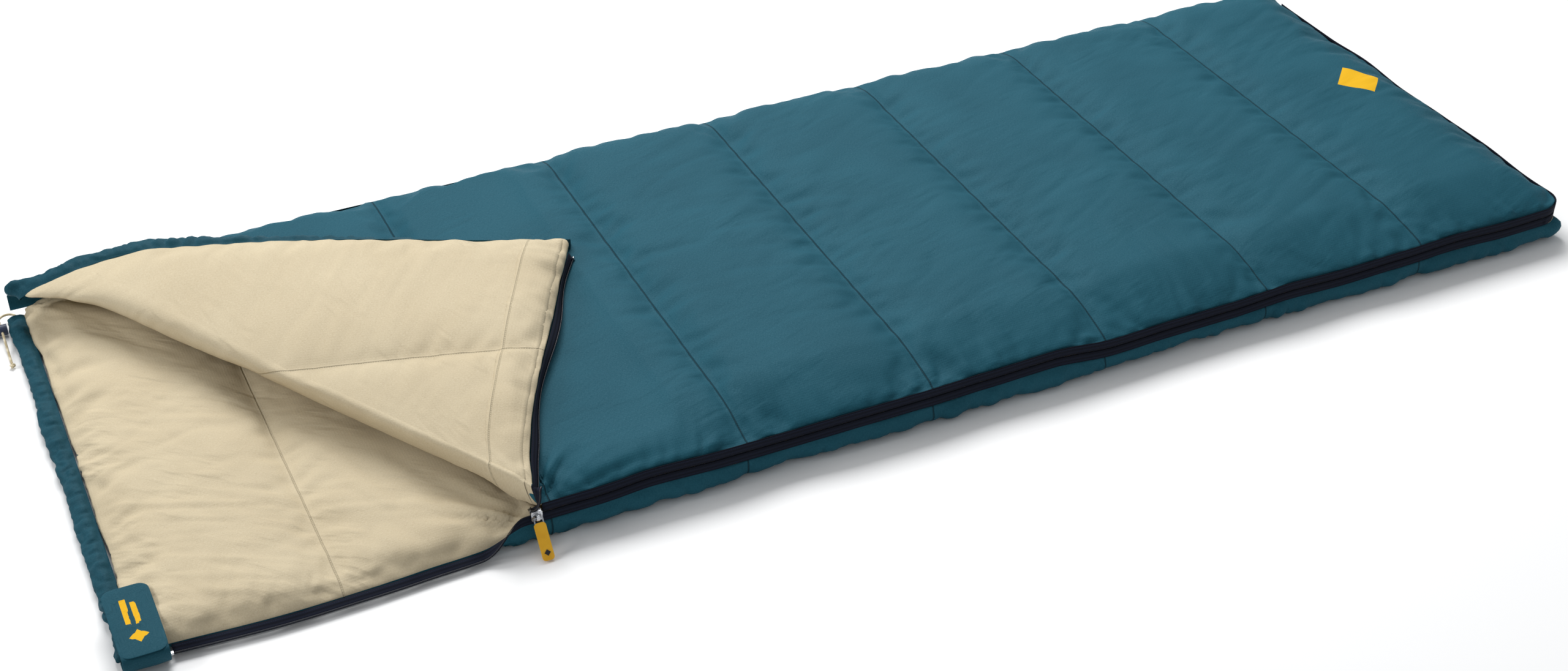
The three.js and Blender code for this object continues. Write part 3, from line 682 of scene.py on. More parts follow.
class Quilt:
    """A closed padded mesh on a grid: an upper and a lower face that share their rim.

    The lower face bellies out below the near and foot rims by the share given by belly.
    """

    def __init__(self, name, start, bowed, upper, lower, belly, materials):
        xs = stations(start)
        # The foot's corners, and on the top quilt the loose tip's, are rounded.
        side = rounding(xs - (FOOT - FOOT_RADIUS), FOOT_RADIUS)
        side = np.minimum(side, FOOT_RADIUS * 0.93)
        tip = (0 if bowed else 0.85) * rounding(start + TIP_RADIUS - xs, TIP_RADIUS)
        rim_y = NEAR + side + tip - sway(xs + NEAR)
        near = rim_y - (bow(xs) if bowed else 0)
        far = FAR - FAR_IN - side
        rows = round((FAR - NEAR - 2 * SIDE_STEPS[-1]) / GRID)
        # The rows across are even, and closer together by the near and far sides.
        side_part = SIDE_STEPS / (FAR - FAR_IN - NEAR)
        part = np.concatenate([
            side_part, np.linspace(side_part[-1], 1 - side_part[-1], rows)[1:-1],
            1 - side_part[::-1]])
        x = np.repeat(xs[:, None], len(part), 1)
        y = near[:, None] + (far - near)[:, None] * part[None, :]
        gaps = {
            "near": y - near[:, None], "far": far[:, None] - y,
            "head": x - start, "foot": FOOT - x,
        }
        count = x.size
        upper_index = np.arange(count).reshape(x.shape)
        inner = np.zeros(x.shape, bool)
        inner[1:-1, 1:-1] = True
        lower_index = upper_index.copy()
        lower_index[inner] = count + np.arange(inner.sum())
        upper_z, lower_z = upper(x, y, gaps), lower(x, y, gaps)
        share = belly(x) * (0.70 + 0.30 * crown(x, 6))
        lower_x = x + np.interp(gaps["foot"], *SIDE_PULL) * share
        lower_y = y - np.interp(gaps["near"], *SIDE_PULL) * share
        points = np.concatenate([
            np.stack([x, y, upper_z], -1).reshape(-1, 3),
            np.stack([lower_x[inner], lower_y[inner], lower_z[inner]], -1),
        ])
        faces = np.concatenate([grid_quads(upper_index), grid_quads(lower_index)[:, ::-1]])
        which = np.repeat([0, 1], len(faces) // 2)
        flat = np.concatenate([
            np.stack([x, y, 0 * x], -1).reshape(-1, 3),
            np.stack([x[inner], y[inner], 0 * x[inner]], -1),
        ])
        # The simulation holds the rim, the seams and the shaped sides.
        place = (xs - HEAD) / CHANNEL
        seams = np.abs(place - np.round(place)) < 1e-4
        pinned = ~inner | seams[:, None]
        by_side = np.minimum(gaps["near"], gaps["foot"]) < SIDE_HELD
        sides = inner & by_side & (share > 0)
        self.pinned = np.unique(np.concatenate([
            upper_index[pinned], lower_index[pinned], lower_index[sides]]))
        self.piece = new_piece(name, points, faces, flat, materials, which)


def grid_quads(index):
    corners = [index[:-1, :-1], index[1:, :-1], index[1:, 1:], index[:-1, 1:]]
    return np.stack(corners, -1).reshape(-1, 4)


def rounded_from(inside, rims, gaps, reach, near_rise=ease):
    """Heights that run from each side's rim to the inside height."""
    drop = np.zeros_like(inside)
    for side, rim in rims.items():
        rising = near_rise if side == "near" else ease
        lower = (inside - rim) * (1 - rising(gaps[side], reach[side]))
        drop = np.where(np.abs(lower) > np.abs(drop), lower, drop)
    return inside - drop


def bottom_upper(x, y, gaps):
    inside = BOTTOM_SEAM + (BOTTOM_CROWN - BOTTOM_SEAM) * crown(x, 4)
    rims = {"near": near_rim(x), "far": FAR_BOTTOM_RIM, "head": 0.012,
            "foot": CLOSED_RIM + rise(FOOT + y)}
    return rounded_from(inside, rims, gaps,
                        {"near": 0.05, "far": 0.05, "head": 0.07, "foot": 0.03})


def bottom_lower(x, y, gaps):
    near = near_rim(x) * np.interp(gaps["near"], *SIDE_DROP)
    foot = (CLOSED_RIM + rise(FOOT + y)) * np.interp(gaps["foot"], *SIDE_DROP)
    far = FAR_BOTTOM_RIM * (1 - ease(gaps["far"], 0.030))
    head = 0.010 * (1 - ease(gaps["head"], 0.030))
    return np.maximum.reduce([near, foot, far, head])


def top_rims(x, y):
    return {"near": TOP_RIM + rise(x + NEAR), "far": FAR_TOP_RIM, "head": HEAD_RIM,
            "foot": TOP_RIM + rise(FOOT + y)}


def top_upper(x, y, gaps):
    high = LOW_CROWN + (HIGH_CROWN - LOW_CROWN) * smooth(x, CORNER_END - 0.01, CORNER_END + 0.16)
    inside = high - SEAM_DEPTH * (1 - crown(x, 5.5))
    return rounded_from(inside, top_rims(x, y), gaps,
                        {"near": 0.100, "far": 0.075, "head": 0.06, "foot": 0.10}, incline)


def top_lower(x, y, gaps):
    inside = LINING_SEAM + (LINING_CROWN - LINING_SEAM) * crown(x, 4)
    return rounded_from(inside, top_rims(x, y), gaps,
                        {"near": 0.05, "far": 0.05, "head": 0.05, "foot": 0.05})


# Pleats that run out from a spot: the spot and their height.
PLEATS = [((MOUTH + 0.004, NEAR), 0.0230), ((HEAD + 0.02, FAR), 0.0150)]
PLEAT_REACH = 0.110
PLEAT_LIFT = 0.30

# Wrinkles by their angle, width, length and height.
SHELL_WRINKLES = [(0.5, 0.045, 0.16, 0.0030), (-0.25, 0.060, 0.20, 0.0034),
                  (0.2, 0.020, 0.12, 0.0013), (1.3, 0.090, 0.26, 0.0026)]
LINING_WRINKLES = [(-0.80, 0.026, 0.24, 0.0074), (-0.45, 0.016, 0.16, 0.0044),
                   (-1.1, 0.048, 0.22, 0.0068), (0.3, 0.045, 0.16, 0.0034)]


def inflate(quilt):
    """Fills the quilt like a pillow between its held points."""
    piece = quilt.piece
    before = coordinates(piece.data)
    x, y = before[:, 0], before[:, 1]
    start = before.copy()
    start[:, 2] += 0.0012 * (value_noise(x / 0.04, y / 0.03, 11) - 0.5)
    start[quilt.pinned] = before[quilt.pinned]
    set_coordinates(piece.data, start)
    group = piece.vertex_groups.new(name="held")
    group.add([int(i) for i in quilt.pinned], 1.0, "REPLACE")
    modifier = piece.modifiers.new("Inflate", "CLOTH")
    settings = modifier.settings
    settings.quality = 5
    settings.mass = 0.25
    settings.tension_stiffness = settings.compression_stiffness = 12
    settings.shear_stiffness = 4
    settings.bending_stiffness = 0.35
    settings.use_pressure = True
    settings.uniform_pressure_force = PRESSURE
    settings.shrink_min = SHRINK
    settings.vertex_group_mass = "held"
    settings.effector_weights.gravity = 0
    modifier.collision_settings.use_collision = False
    scene = bpy.context.scene
    for number in range(1, CLOTH_FRAMES + 1):
        scene.frame_set(number)
    graph = bpy.context.evaluated_depsgraph_get()
    after = coordinates(piece.evaluated_get(graph).data)
    piece.modifiers.clear()
    piece.vertex_groups.clear()
    scene.frame_set(1)
    step = after - before
    length = np.linalg.norm(step, axis=1, keepdims=True)
    step *= MOST_LIFT * np.tanh(length / MOST_LIFT) / np.maximum(length, 1e-9)
    set_coordinates(piece.data, before + step)


def beside(distance, fade, start, full):
    """A share that rises beside an edge and fades away from it."""
    return np.exp(-distance / fade) * smooth(distance, start, full)


def pucker(piece, gather, seed, wrinkles):
    """Small creases that run into the seams, and longer ones that run into the edges."""
    mesh = piece.data
    co, flat, normals = coordinates(mesh), flat_of(mesh), outward(mesh)
    x, y = flat[:, 0], flat[:, 1]

    # Creases into the seams.
    place = (x - HEAD) / CHANNEL
    nearest = np.clip(np.round(place), 1, CHANNELS - 1)
    off = (place - nearest) * CHANNEL
    inward, outer = y - NEAR, FAR - y
    seam = beside(np.abs(off), 0.020, 0.0004, 0.005)
    slant = y + 0.30 * off
    depth = 0.0014 + 0.0034 * np.exp(-inward / 0.09) + 0.0010 * np.exp(-outer / 0.08)
    height = depth * seam * creased(slant / 0.018, nearest * 9.7 + off / 0.04, seed)

    # Gathers into the folded side and into both ends.
    edge = beside(outer, 0.040, 0.002, 0.014)
    height += 0.2 * gather * edge * creased((x - 0.2 * outer) / 0.045, outer / 0.16, seed + 4)
    ends = np.minimum(FOOT - x, x - HEAD - HEM_WIDTH)
    edge = beside(ends, 0.035, 0.001, 0.012)
    height += 0.6 * gather * edge * creased(y / 0.024, ends / 0.12, seed + 6)

    # Wrinkles between the seams, and pleats that run out from the ends of the fold.
    clear = smooth(np.abs(off), 0.0, 0.035)
    for number, (angle, width, length, size) in enumerate(wrinkles):
        height += size * clear * folds(x, y, angle, width, length, seed + 20 + number)
    for (spot_x, spot_y), size in PLEATS:
        dx, dy = x - spot_x, y - spot_y
        distance = np.hypot(dx, dy)
        rays = creased(np.arctan2(dy, dx) * 4.4, distance / 0.25, seed + 30) + PLEAT_LIFT
        height += size * rays * beside(distance, PLEAT_REACH, 0.004, 0.03)
    height *= smooth(np.minimum(inward, ends + HEM_WIDTH), 0.0, 0.030)

    # Gathers along the zip, of uneven reach and lean.
    reach = 0.020 + 0.085 * value_noise(x / 0.06, 0, seed + 1) ** 2
    lean = 0.9 * (value_noise(x / 0.13, 0, seed + 7) - 0.5)
    edge = beside(inward, reach, 0.001, 0.010)
    gathers = creased((x + lean * inward) / 0.025, inward / 0.14, seed + 2)
    height += gather * edge * (gathers + 0.40)

    co += normals * height[:, None]
    ceiling = LOW_CROWN + 0.0012 + 0.04 * smooth(x, CORNER_END + 0.005, CORNER_END + 0.15)
    co[:, 2] = np.clip(co[:, 2], 0, ceiling)
    set_coordinates(mesh, co)


# ---- Turning the corner back ------------------------------------------------------------
def fold_places(co):
    """Distance along the fold line from the far side, and beyond it towards the foot."""
    offset = co - FOLD_POINT
    return offset @ FOLD_AXIS + FOLD_HALF, offset @ FOLD_NORMAL


def cut_offset(along):
    """How far beyond the fold line the quilt is cut and the roll begins."""
    part = along / FOLD_LENGTH
    return ROLL_AT_HEAD + (ROLL_AT_SLIDER - ROLL_AT_HEAD) * part


def turn_over(co):
    """The half turn about the fold, and the way the loose corner then spreads."""
    offset = co - FOLD_POINT
    turned = FOLD_POINT + 2 * np.outer(offset @ FOLD_AXIS, FOLD_AXIS) - offset
    along, beyond = fold_places(turned)

    # The cloth spreads away from the fold, and its tip along it too.
    share = smooth(beyond, 0.04, 0.30)
    tip = np.clip(beyond / 0.44, 0, 1) ** 2
    turned += SPREAD * share[:, None] * FOLD_NORMAL
    turned += (1.3 * SPREAD * tip - 0.4 * SPREAD * share * (1 - tip))[:, None] * FOLD_AXIS
    # Beside the slider it is drawn back towards the fold.
    near_slider = smooth(along, 0.72, 0.90) * smooth(beyond, 0.0, 0.06) * (1 - share)
    turned -= 0.010 * near_slider[:, None] * FOLD_NORMAL
    turned[:, 0] += TIP_SLIDE * tip

    # The hemmed edge bows out, most of all a third of the way along it.
    from_apex = turned - FOLD_START
    hem_run = np.clip(from_apex @ HEM_RUN / (FAR - NEAR), 0, 1)
    bulge = np.sin(math.pi / 2 * np.clip(hem_run / 0.32, 0, 1))
    bulge = bulge * (1 - 0.5 * smooth(hem_run, 0.4, 1))
    bulge *= smooth(from_apex @ HEM_OUT, -0.26, 0.0) * smooth(beyond, 0.0, 0.10)
    turned += HEM_BULGE * bulge[:, None] * HEM_OUT
    return settle(pressed(turned, PRESSED_AT_HEAD, PRESSED_AT_SLIDER))


def pressed(co, at_head, at_slider):
    """Both thicknesses thin towards the fold, so that they meet in a soft lip."""
    along, beyond = fold_places(co)
    amount = at_head + (at_slider - at_head) * smooth(along, 0.15, 0.90)
    amount *= (1 - np.clip((beyond - cut_offset(along)) / 0.17, 0, 1)) ** 2
    out = co.copy()
    out[:, 2] -= amount * (co[:, 2] - FOLD_Z)
    return out


def lifted(co):
    """The main part beside the fold, drawn up by the roll except at its zipped edge."""
    free = smooth(co[:, 1], NEAR + 0.004, NEAR + 0.090)[:, None]
    return settle(co + (pressed(co, LIFTED, LIFTED) - co) * free)


def settle(co):
    """The turned cloth sinks towards the far head corner."""
    out = co.copy()
    distance = np.hypot(co[:, 0] - HEAD, co[:, 1] - FAR)
    sink = SINK * (1 - smooth(distance, 0.02, 0.17))
    out[:, 2] -= sink * np.maximum(co[:, 2] - BOTTOM_CROWN, 0)
    return out


def one_side(piece, name, turned):
    """A copy of the part of a closed piece on one side of the fold's roll."""
    sign = -1 if turned else 1
    start = FOLD_START + sign * ROLL_AT_HEAD * FOLD_NORMAL
    end = FOLD_POINT + FOLD_AXIS * FOLD_HALF + sign * ROLL_AT_SLIDER * FOLD_NORMAL
    line = end - start
    made = bmesh.new()
    made.from_mesh(piece.data)
    bmesh.ops.bisect_plane(
        made, geom=made.verts[:] + made.edges[:] + made.faces[:], dist=1e-6,
        plane_co=start, plane_no=(-line[1], line[0], 0), clear_inner=not turned,
        clear_outer=turned)
    mesh = bpy.data.meshes.new(name)
    made.to_mesh(mesh)
    made.free()
    mesh.polygons.foreach_set("use_smooth", np.full(len(mesh.polygons), True))
    for material in list(piece.data.materials)[len(mesh.materials):]:
        mesh.materials.append(material)
    half = bpy.data.objects.new(name, mesh)
    bpy.context.scene.collection.objects.link(half)
    set_coordinates(mesh, turn_over(coordinates(mesh)) if turned else lifted(coordinates(mesh)))
    return half


def cut_line(piece, look):
    """Points and cloth places along the cut edge of one face of a piece, from the far side."""
    made = bmesh.new()
    made.from_mesh(piece.data)
    chosen = sorted({vertex.index for edge in made.edges
                     if edge.is_boundary and edge.link_faces[0].material_index == look
                     for vertex in edge.verts})
    made.free()
    co, flat = coordinates(piece.data)[chosen], flat_of(piece.data)[chosen]
    order = np.argsort(fold_places(co)[0])
    return co[order], flat[order]


def step_lengths(line):
    return np.linalg.norm(np.diff(line, axis=0), axis=1)


def distances(line):
    """Each point's distance from the start, along a line."""
    return np.concatenate([[0], np.cumsum(step_lengths(line))])


def part_along(line):
    distance = distances(line)
    return distance / distance[-1]


def resampled(values, old, new):
    return np.stack([np.interp(new, old, values[:, i]) for i in range(3)], -1)


def roll_points(start, end, inner, lift):
    """A sheet bent round the fold, from the main part's cut edge to the turned corner's."""
    (from_co, from_flat), (to_co, to_flat) = start, end
    part = part_along(from_co)
    to_co, to_flat = (resampled(v, part_along(to_co), part) for v in (to_co, to_flat))
    along = (fold_places(from_co)[0] + fold_places(to_co)[0]) / 2
    whole = np.clip(along / FOLD_LENGTH, 0, 1)
    rim = smooth(np.minimum(whole, 1 - whole), 0.03, 0.08)
    reach = cut_offset(along) * (1 - ROLL_BACK * np.sin(math.pi * whole) ** 0.7)
    if inner:
        depth = FOLD_Z - np.minimum(from_co[:, 2], 2 * FOLD_Z - to_co[:, 2])
        reach *= 0.30 + 0.55 * np.clip(depth / 0.018, 0, 1) ** 2
    apex = 1 - smooth(whole, 0.06, 0.20)
    points, flats = [], []
    for step in range(ROLL_STEPS + 1):
        share = step / ROLL_STEPS
        bend = math.sin(math.pi * share ** (1 if inner else 1.4))
        low = FOLD_Z - from_co[:, 2] + (to_co[:, 2] + from_co[:, 2] - 2 * FOLD_Z) * share
        ring = from_co + (to_co - from_co) * share
        ring[:, 2] = FOLD_Z - low * math.cos(math.pi * share)
        lumps = 0.55 * (value_noise(along / 0.12, 1.3 * share, 31) - 0.5)
        pleats = 0.30 * creased(along / 0.040, 0.8 * share, 33) * (0.4 + 1.6 * apex)
        uneven = 1 + rim * (0 if inner else 1) * (lumps + pleats)
        out = (reach * uneven + (0 if inner else lift)) * bend
        ring -= out[:, None] * FOLD_NORMAL
        ring += (apex * bend ** 1.2)[:, None] * ROLL_PULL
        points.append(ring)
        flats.append(from_flat + (to_flat - from_flat) * share)
    return np.array(points), np.array(flats)


def roll_sheet(name, points, flats, material, back_first):
    index = np.arange(points.shape[0] * points.shape[1]).reshape(points.shape[:2])
    quads = grid_quads(index)
    if back_first:
        quads = quads[:, ::-1]
    sheet = new_piece(name, points.reshape(-1, 3), quads, flats.reshape(-1, 3), [material])
    follow(sheet, np.repeat(np.linspace(0, 1, points.shape[0]), points.shape[1]))
    return sheet


def share_normals(*pieces):
    """Smooth shading across the edges where pieces meet."""
    sums = {}
    meshes = []
    for piece in pieces:
        mesh = piece.data
        co, normals = coordinates(mesh), outward(mesh)
        keys = [tuple(key) for key in np.round(co * 2e3).astype(int)]
        edge = boundary_vertices(mesh)
        meshes.append((mesh, keys, normals, edge))
        for number in np.flatnonzero(edge):
            sums.setdefault(keys[number], []).append(normals[number])
    for mesh, keys, normals, edge in meshes:
        wanted = normals.copy()
        for number in np.flatnonzero(edge):
            found = sums[keys[number]]
            total = sum(found)
            if len(found) > 1 and np.linalg.norm(total) > 0.5:
                wanted[number] = total / np.linalg.norm(total)
        mesh.normals_split_custom_set_from_vertices([tuple(n) for n in wanted])


def boundary_vertices(mesh):
    """Which vertices lie on an open edge."""
    made = bmesh.new()
    made.from_mesh(mesh)
    marks = np.array([vertex.is_boundary for vertex in made.verts])
    made.free()
    return marks


def follow(piece, share):
    """Sets each point to its share, below a half by the main part and above by the corner, bakes
    the transform and puts the shape back, so the piece is left as it was.
    """
    shape = coordinates(piece.data)
    set_coordinates(piece.data, np.column_stack([0 * share, 0 * share, share]))
    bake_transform(piece)
    set_coordinates(piece.data, shape)


def turned_quilt(quilt, shell, lining):
    """Cuts the top quilt at the fold and joins its parts with a roll; returns the roll's ends.

    The lining is outermost round the fold, and the shell meets itself in the crease.
    """
    main, corner = one_side(quilt, "quilt_top_main", False), one_side(quilt, "quilt_corner", True)
    outer, flats = roll_points(cut_line(main, 1), cut_line(corner, 1), False, 0)
    roll = roll_sheet("quilt_roll", outer, flats, lining, True)
    inner, flats = roll_points(cut_line(main, 0), cut_line(corner, 0), True, 0)
    crease = roll_sheet("quilt_crease", inner, flats, shell, False)
    share_normals(main, corner, roll)
    bpy.data.objects.remove(quilt)
    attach(main, "top_panel")
    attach(corner, "corner")
    return main, corner, roll, crease, (outer[:, 0], outer[:, -1])


def turned_facing(facing, material):
    main, corner = one_side(facing, "facing_main", False), one_side(facing, "facing_corner", True)
    points, flats = roll_points(cut_line(main, 1), cut_line(corner, 1), False, 0.0012)
    roll = roll_sheet("facing_roll", points, flats, material, True)
    bpy.data.objects.remove(facing)
    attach(main, "top_panel")
    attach(corner, "corner")
    return main, corner, roll


# ---- Strips and tubes along a route -----------------------------------------------------
def swept(name, route, out, up, rings, material, flats, closed=True):
    """A skin whose ring at each station lies in that station's out and up directions.

    Each point's place on the cloth is its distance along the route and its value in flats.
    """
    count = rings.shape[1]
    points = (route[:, None] + rings[..., :1] * out[:, None] + rings[..., 1:2] * up[:, None])
    flat = np.zeros((len(route), count, 3))
    flat[..., 0] = distances(route)[:, None]
    flat[..., 1] = flats
    faces = []
    spans = count if closed else count - 1
    for i in range(len(route) - 1):
        for j in range(spans):
            a, b = i * count + j, i * count + (j + 1) % count
            faces.append((a, b, b + count, a + count))
    if closed:
        faces.append(tuple(range(count))[::-1])
        last = (len(route) - 1) * count
        faces.append(tuple(last + j for j in range(count)))
    piece = new_piece(name, points.reshape(-1, 3), faces, flat.reshape(-1, 3), [material])
    outside_out(piece)
    return piece


def sheet_along_x(name, xs, rings, material, flats):
    """An open sheet from a profile of (y, z) at each station."""
    route = np.column_stack([xs, 0 * xs, 0 * xs])
    out, up = np.tile([0, 1.0, 0], (len(xs), 1)), np.tile([0, 0, 1.0], (len(xs), 1))
    return swept(name, route, out, up, rings, material, flats, closed=False)


def round_angles(count):
    return np.linspace(0, 2 * math.pi, count + 1)[:-1]


def outside_out(piece):
    """Turns every face of a piece outwards."""
    fixed = bmesh.new()
    fixed.from_mesh(piece.data)
    bmesh.ops.recalc_face_normals(fixed, faces=fixed.faces)
    fixed.to_mesh(piece.data)
    fixed.free()


def unit(vectors):
    return vectors / np.linalg.norm(vectors, axis=-1, keepdims=True)


def respaced(route, spacing, *others):
    """A route, and values carried along it, at an even spacing."""
    distance = distances(route)
    wanted = np.linspace(0, distance[-1], max(2, round(distance[-1] / spacing) + 1))
    return [resampled(values, distance, wanted) for values in (route, *others)]


def zip_route(start, spacing):
    """Points and outward directions along the zipped edge and round the foot corner."""
    straight = np.arange(start, FOOT - FOOT_RADIUS, spacing)
    places = [(x, NEAR, 0.0, -1.0) for x in straight]
    turns = max(6, int(FOOT_RADIUS * math.pi / 2 / spacing))
    for i in range(turns + 1):
        angle = math.pi / 2 * i / turns
        places.append((
            FOOT - FOOT_RADIUS + FOOT_RADIUS * math.sin(angle),
            NEAR + FOOT_RADIUS - FOOT_RADIUS * math.cos(angle),
            math.sin(angle), -math.cos(angle)))
    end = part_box("zip_tape_lower")[1].y
    for y in np.arange(NEAR + FOOT_RADIUS + spacing, end, spacing):
        places.append((FOOT, y, 1.0, 0.0))
    return np.array(places)


TAPE_SHAPE = np.array([[0, 0], [0.25, -0.12], [0.5, -0.2], [0.75, -0.12], [1, 0],
                       [1, 1], [0.75, 0.88], [0.5, 0.8], [0.25, 0.88], [0, 1]])
ROUND = np.array([[0.5 + 0.5 * math.cos(a), 0.5 + 0.5 * math.sin(a)] for a in round_angles(8)])
COIL_PITCH = 0.0017
TAPE_BAND = (0, TAPE_WIDTH, -TAPE_THICK / 2, TAPE_THICK / 2)
COIL_BAND = (0.0108, 0.0133, 0.0006, 0.0026)


def zip_parts(tape_material, coil_material, suffix):
    """What a tape and a coil differ in: name, band, spacing, shape, material, node and slot."""
    yield "tape_" + suffix, TAPE_BAND, 0.005, TAPE_SHAPE, tape_material, "zip_tape"
    yield "coil_" + suffix, COIL_BAND, COIL_PITCH / 4, ROUND, coil_material, "zip_coil"


def zip_strip(name, route, across, facing, band, shape, material):
    """A tape or a coil along a route; a coil's turns bulge one after another."""
    s0, s1, n0, n1 = band
    ring = np.column_stack([s0 + (s1 - s0) * shape[:, 0], n0 + (n1 - n0) * shape[:, 1]])
    rings = np.repeat(ring[None], len(route), 0)
    if shape is ROUND:
        thin = np.array([1.0, 0.86, 0.62, 0.86])[np.arange(len(route)) % 4]
        middle = ring.mean(0)
        rings = middle + (rings - middle) * thin[:, None, None]
    return swept(name, route, across, facing, rings, material, ring[None, :, 0])


def edge_strip(part, places, lean, off, z, side, body, node):
    name, band, _, shape, material, slot = part
    route = np.column_stack([places[:, :2] + places[:, 2:] * off[:, None], z])
    out = np.column_stack([places[:, 2:], 0 * z])
    up = np.tile([0.0, 0.0, 1.0], (len(z), 1))
    cos, sin = np.cos(lean)[:, None], np.sin(lean)[:, None]
    across = out * cos + up * sin
    facing = (up * cos - out * sin) * side
    strip = zip_strip(name, route, across, facing, band, shape, material)
    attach(strip, body)
    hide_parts(node)


def lower_zip(tape_material, coil_material):
    """The lower half: open and drooping beside the mouth, standing against the edge beyond."""
    sewn = ZIP_Z - PARTING - COIL_BAND[1]
    for part in zip_parts(tape_material, coil_material, "lower"):
        opened = np.arange(OPEN_TAPE_START, MOUTH - 0.010, part[2])
        places = np.stack([opened, NEAR - bow(opened), opened * 0, opened * 0 - 1], -1)
        places = np.concatenate([places, zip_route(MOUTH - 0.010, part[2])])
        place = places[:, 0] + np.where(places[:, 0] < MOUTH, NEAR, places[:, 1])
        shut = smooth(places[:, 0], MOUTH - 0.080, MOUTH - 0.012)
        off = 0.0006 + shut * 0.0003 + sway(place)
        slack = 0.0012 * (value_noise(place / 0.06, 0, 7) - 0.3)
        z = OPEN_RIM + slack + (sewn - OPEN_RIM - slack) * shut + rise(place) * shut
        lean = OPEN_DROOP + (math.pi / 2 - OPEN_DROOP) * shut
        edge_strip(part, places, lean, off, z, 1, "bag", part[5] + "_lower")


def upper_zip(tape_material, coil_material):
    for part in zip_parts(tape_material, coil_material, "upper"):
        places = zip_route(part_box("zip_tape_upper")[0].x, part[2])
        place = places[:, 0] + places[:, 1]
        z = ZIP_Z + PARTING + COIL_BAND[1] + rise(place)
        lean = np.full(len(z), -math.pi / 2)
        edge_strip(part, places, lean, 0.0009 + sway(place), z, -1, "top_panel",
                   part[5] + "_upper")


def corner_zip(tape_material, coil_material, roll_end, metal_material):
    """The turned corner's half: it droops over the edge, then follows the roll to the slider."""
    xs = np.arange(TOP_START + TIP_RADIUS, roll_start_x(), 0.004)
    shut = np.column_stack([xs, 0 * xs + NEAR - sway(xs + NEAR), TOP_RIM + rise(xs + NEAR)])
    edge = turn_over(shut)
    bend = roll_end[::-1][1:]
    route = np.concatenate([edge, bend])
    share = np.concatenate([np.ones(len(edge)), np.linspace(1, 0, len(bend))])[:, None]
    beyond = unit(HEM_RUN * share + np.array((0, -1.0, 0)) * (1 - share))
    # On the roll the tape levels out by the middle, then turns down as on the closed edge.
    droop = CORNER_DROOP + 0.3 * np.sin(np.arange(len(route)) / 9)
    droop = np.where(share[:, 0] < 1, (2 * share[:, 0] - 1) * CORNER_DROOP, droop)
    droop = np.where(share[:, 0] < 0.5, (1 - 2 * share[:, 0]) * math.pi / 2, droop)[:, None]
    across = beyond * np.cos(droop) - np.array((0, 0, 1.0)) * np.sin(droop)
    for part in zip_parts(tape_material, coil_material, "corner"):
        name, band, spacing, shape, material, slot = part
        path, wide = respaced(route, spacing, across)
        tangent = unit(np.gradient(path, axis=0))
        wide = unit(wide - tangent * (wide * tangent).sum(-1, keepdims=True))
        facing = np.cross(tangent, wide)
        strip = zip_strip(name, path + wide * 0.0004, wide, facing, band, shape, material)
        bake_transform(strip)
        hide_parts("corner_" + slot)
        if shape is ROUND:
            stop = box_on(path[0] + wide[0] * 0.0120 + facing[0] * 0.0016, tangent[0], wide[0],
                          facing[0], (0.0020, 0.0026, 0.0018), metal_material)
            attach(stop, "corner")
            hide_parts("upper_top_stop")


def bevelled(piece, width):
    edge = piece.modifiers.new("Edge", "BEVEL")
    edge.width = width
    edge.segments = 3
    return edge


def box_on(centre, along, across, facing, half, material):
    """A small clamp with rounded edges."""
    corners = [centre + along * half[0] * a + across * half[1] * b + facing * half[2] * c
               for c in (-1, 1) for b in (-1, 1) for a in (-1, 1)]
    faces = [(0, 2, 3, 1), (4, 5, 7, 6), (0, 1, 5, 4), (2, 6, 7, 3), (0, 4, 6, 2), (1, 3, 7, 5)]
    clamp = new_piece("top_stop_corner", corners, faces, corners, [material])
    outside_out(clamp)
    bevelled(clamp, 0.0007)
    return clamp


def roll_start_x():
    """Where the corner's zipped edge meets the roll, in the closed state."""
    along = (FAR - NEAR - FOLD_NORMAL[1] * ROLL_AT_SLIDER) / abs(FOLD_AXIS[1])
    return HEAD + FOLD_AXIS[0] * along - FOLD_NORMAL[0] * ROLL_AT_SLIDER


# ---- Hems, strips, flap and cord --------------------------------------------------------
def ruched(name, route, out, half_out, half_up, material, seed, tuck=0.0):
    """A gathered drawcord hem: fat ridges that fade into the edge it is stitched by.

    Towards its end the hem leans down by tuck radians, under the edge it is sewn to.
    Returns the hem and the path of its middle.
    """
    path, out = respaced(route, HEM_STEP, out)
    tangent = unit(np.gradient(path, axis=0))
    out = unit(out - tangent * (out * tangent).sum(-1, keepdims=True))
    up = np.cross(out, tangent)
    up *= np.sign(up[len(up) // 2, 2])
    lean = tuck * smooth(np.linspace(0, 1, len(path)), 0.15, 0.95)[:, None]
    path -= up * half_out * 0.7 * np.sin(lean) + out * half_out * 0.7 * (1 - np.cos(lean))
    out, up = out * np.cos(lean) - up * np.sin(lean), up * np.cos(lean) + out * np.sin(lean)
    angles = round_angles(HEM_SIDES)
    around, upward = np.cos(angles)[None], np.sin(angles)[None]
    # The ridges run round the hem and fade where it is stitched.
    stitched = smooth(-around, 0.30, 1.0)
    along = (np.arange(len(path)) * HEM_STEP)[:, None]
    bunch = 0.55 + 0.9 * value_noise(along / 0.08, 0, seed + 7)
    ridges = creased(along / 0.020 + 0.5 * upward, angles[None] * 0.55, seed) * bunch
    fine = creased(along / 0.0085 + 0.3 * around, angles[None] * 0.8 + 3, seed + 2)
    swell = 1 + (0.85 * ridges + 0.30 * fine) * (1 - 0.4 * stitched)
    drift = 0.0042 * (value_noise(along / 0.055, 0, seed + 5) - 0.5)
    off = half_out * around * (1 + 0.30 * ridges * (1 - stitched)) + drift * (1 - stitched)
    z = half_up * upward * swell * (1 - 0.70 * stitched)
    rings = np.stack([off, z + 0 * off], -1)
    return swept(name, path, out, up, rings, material, angles[None] * half_out), path


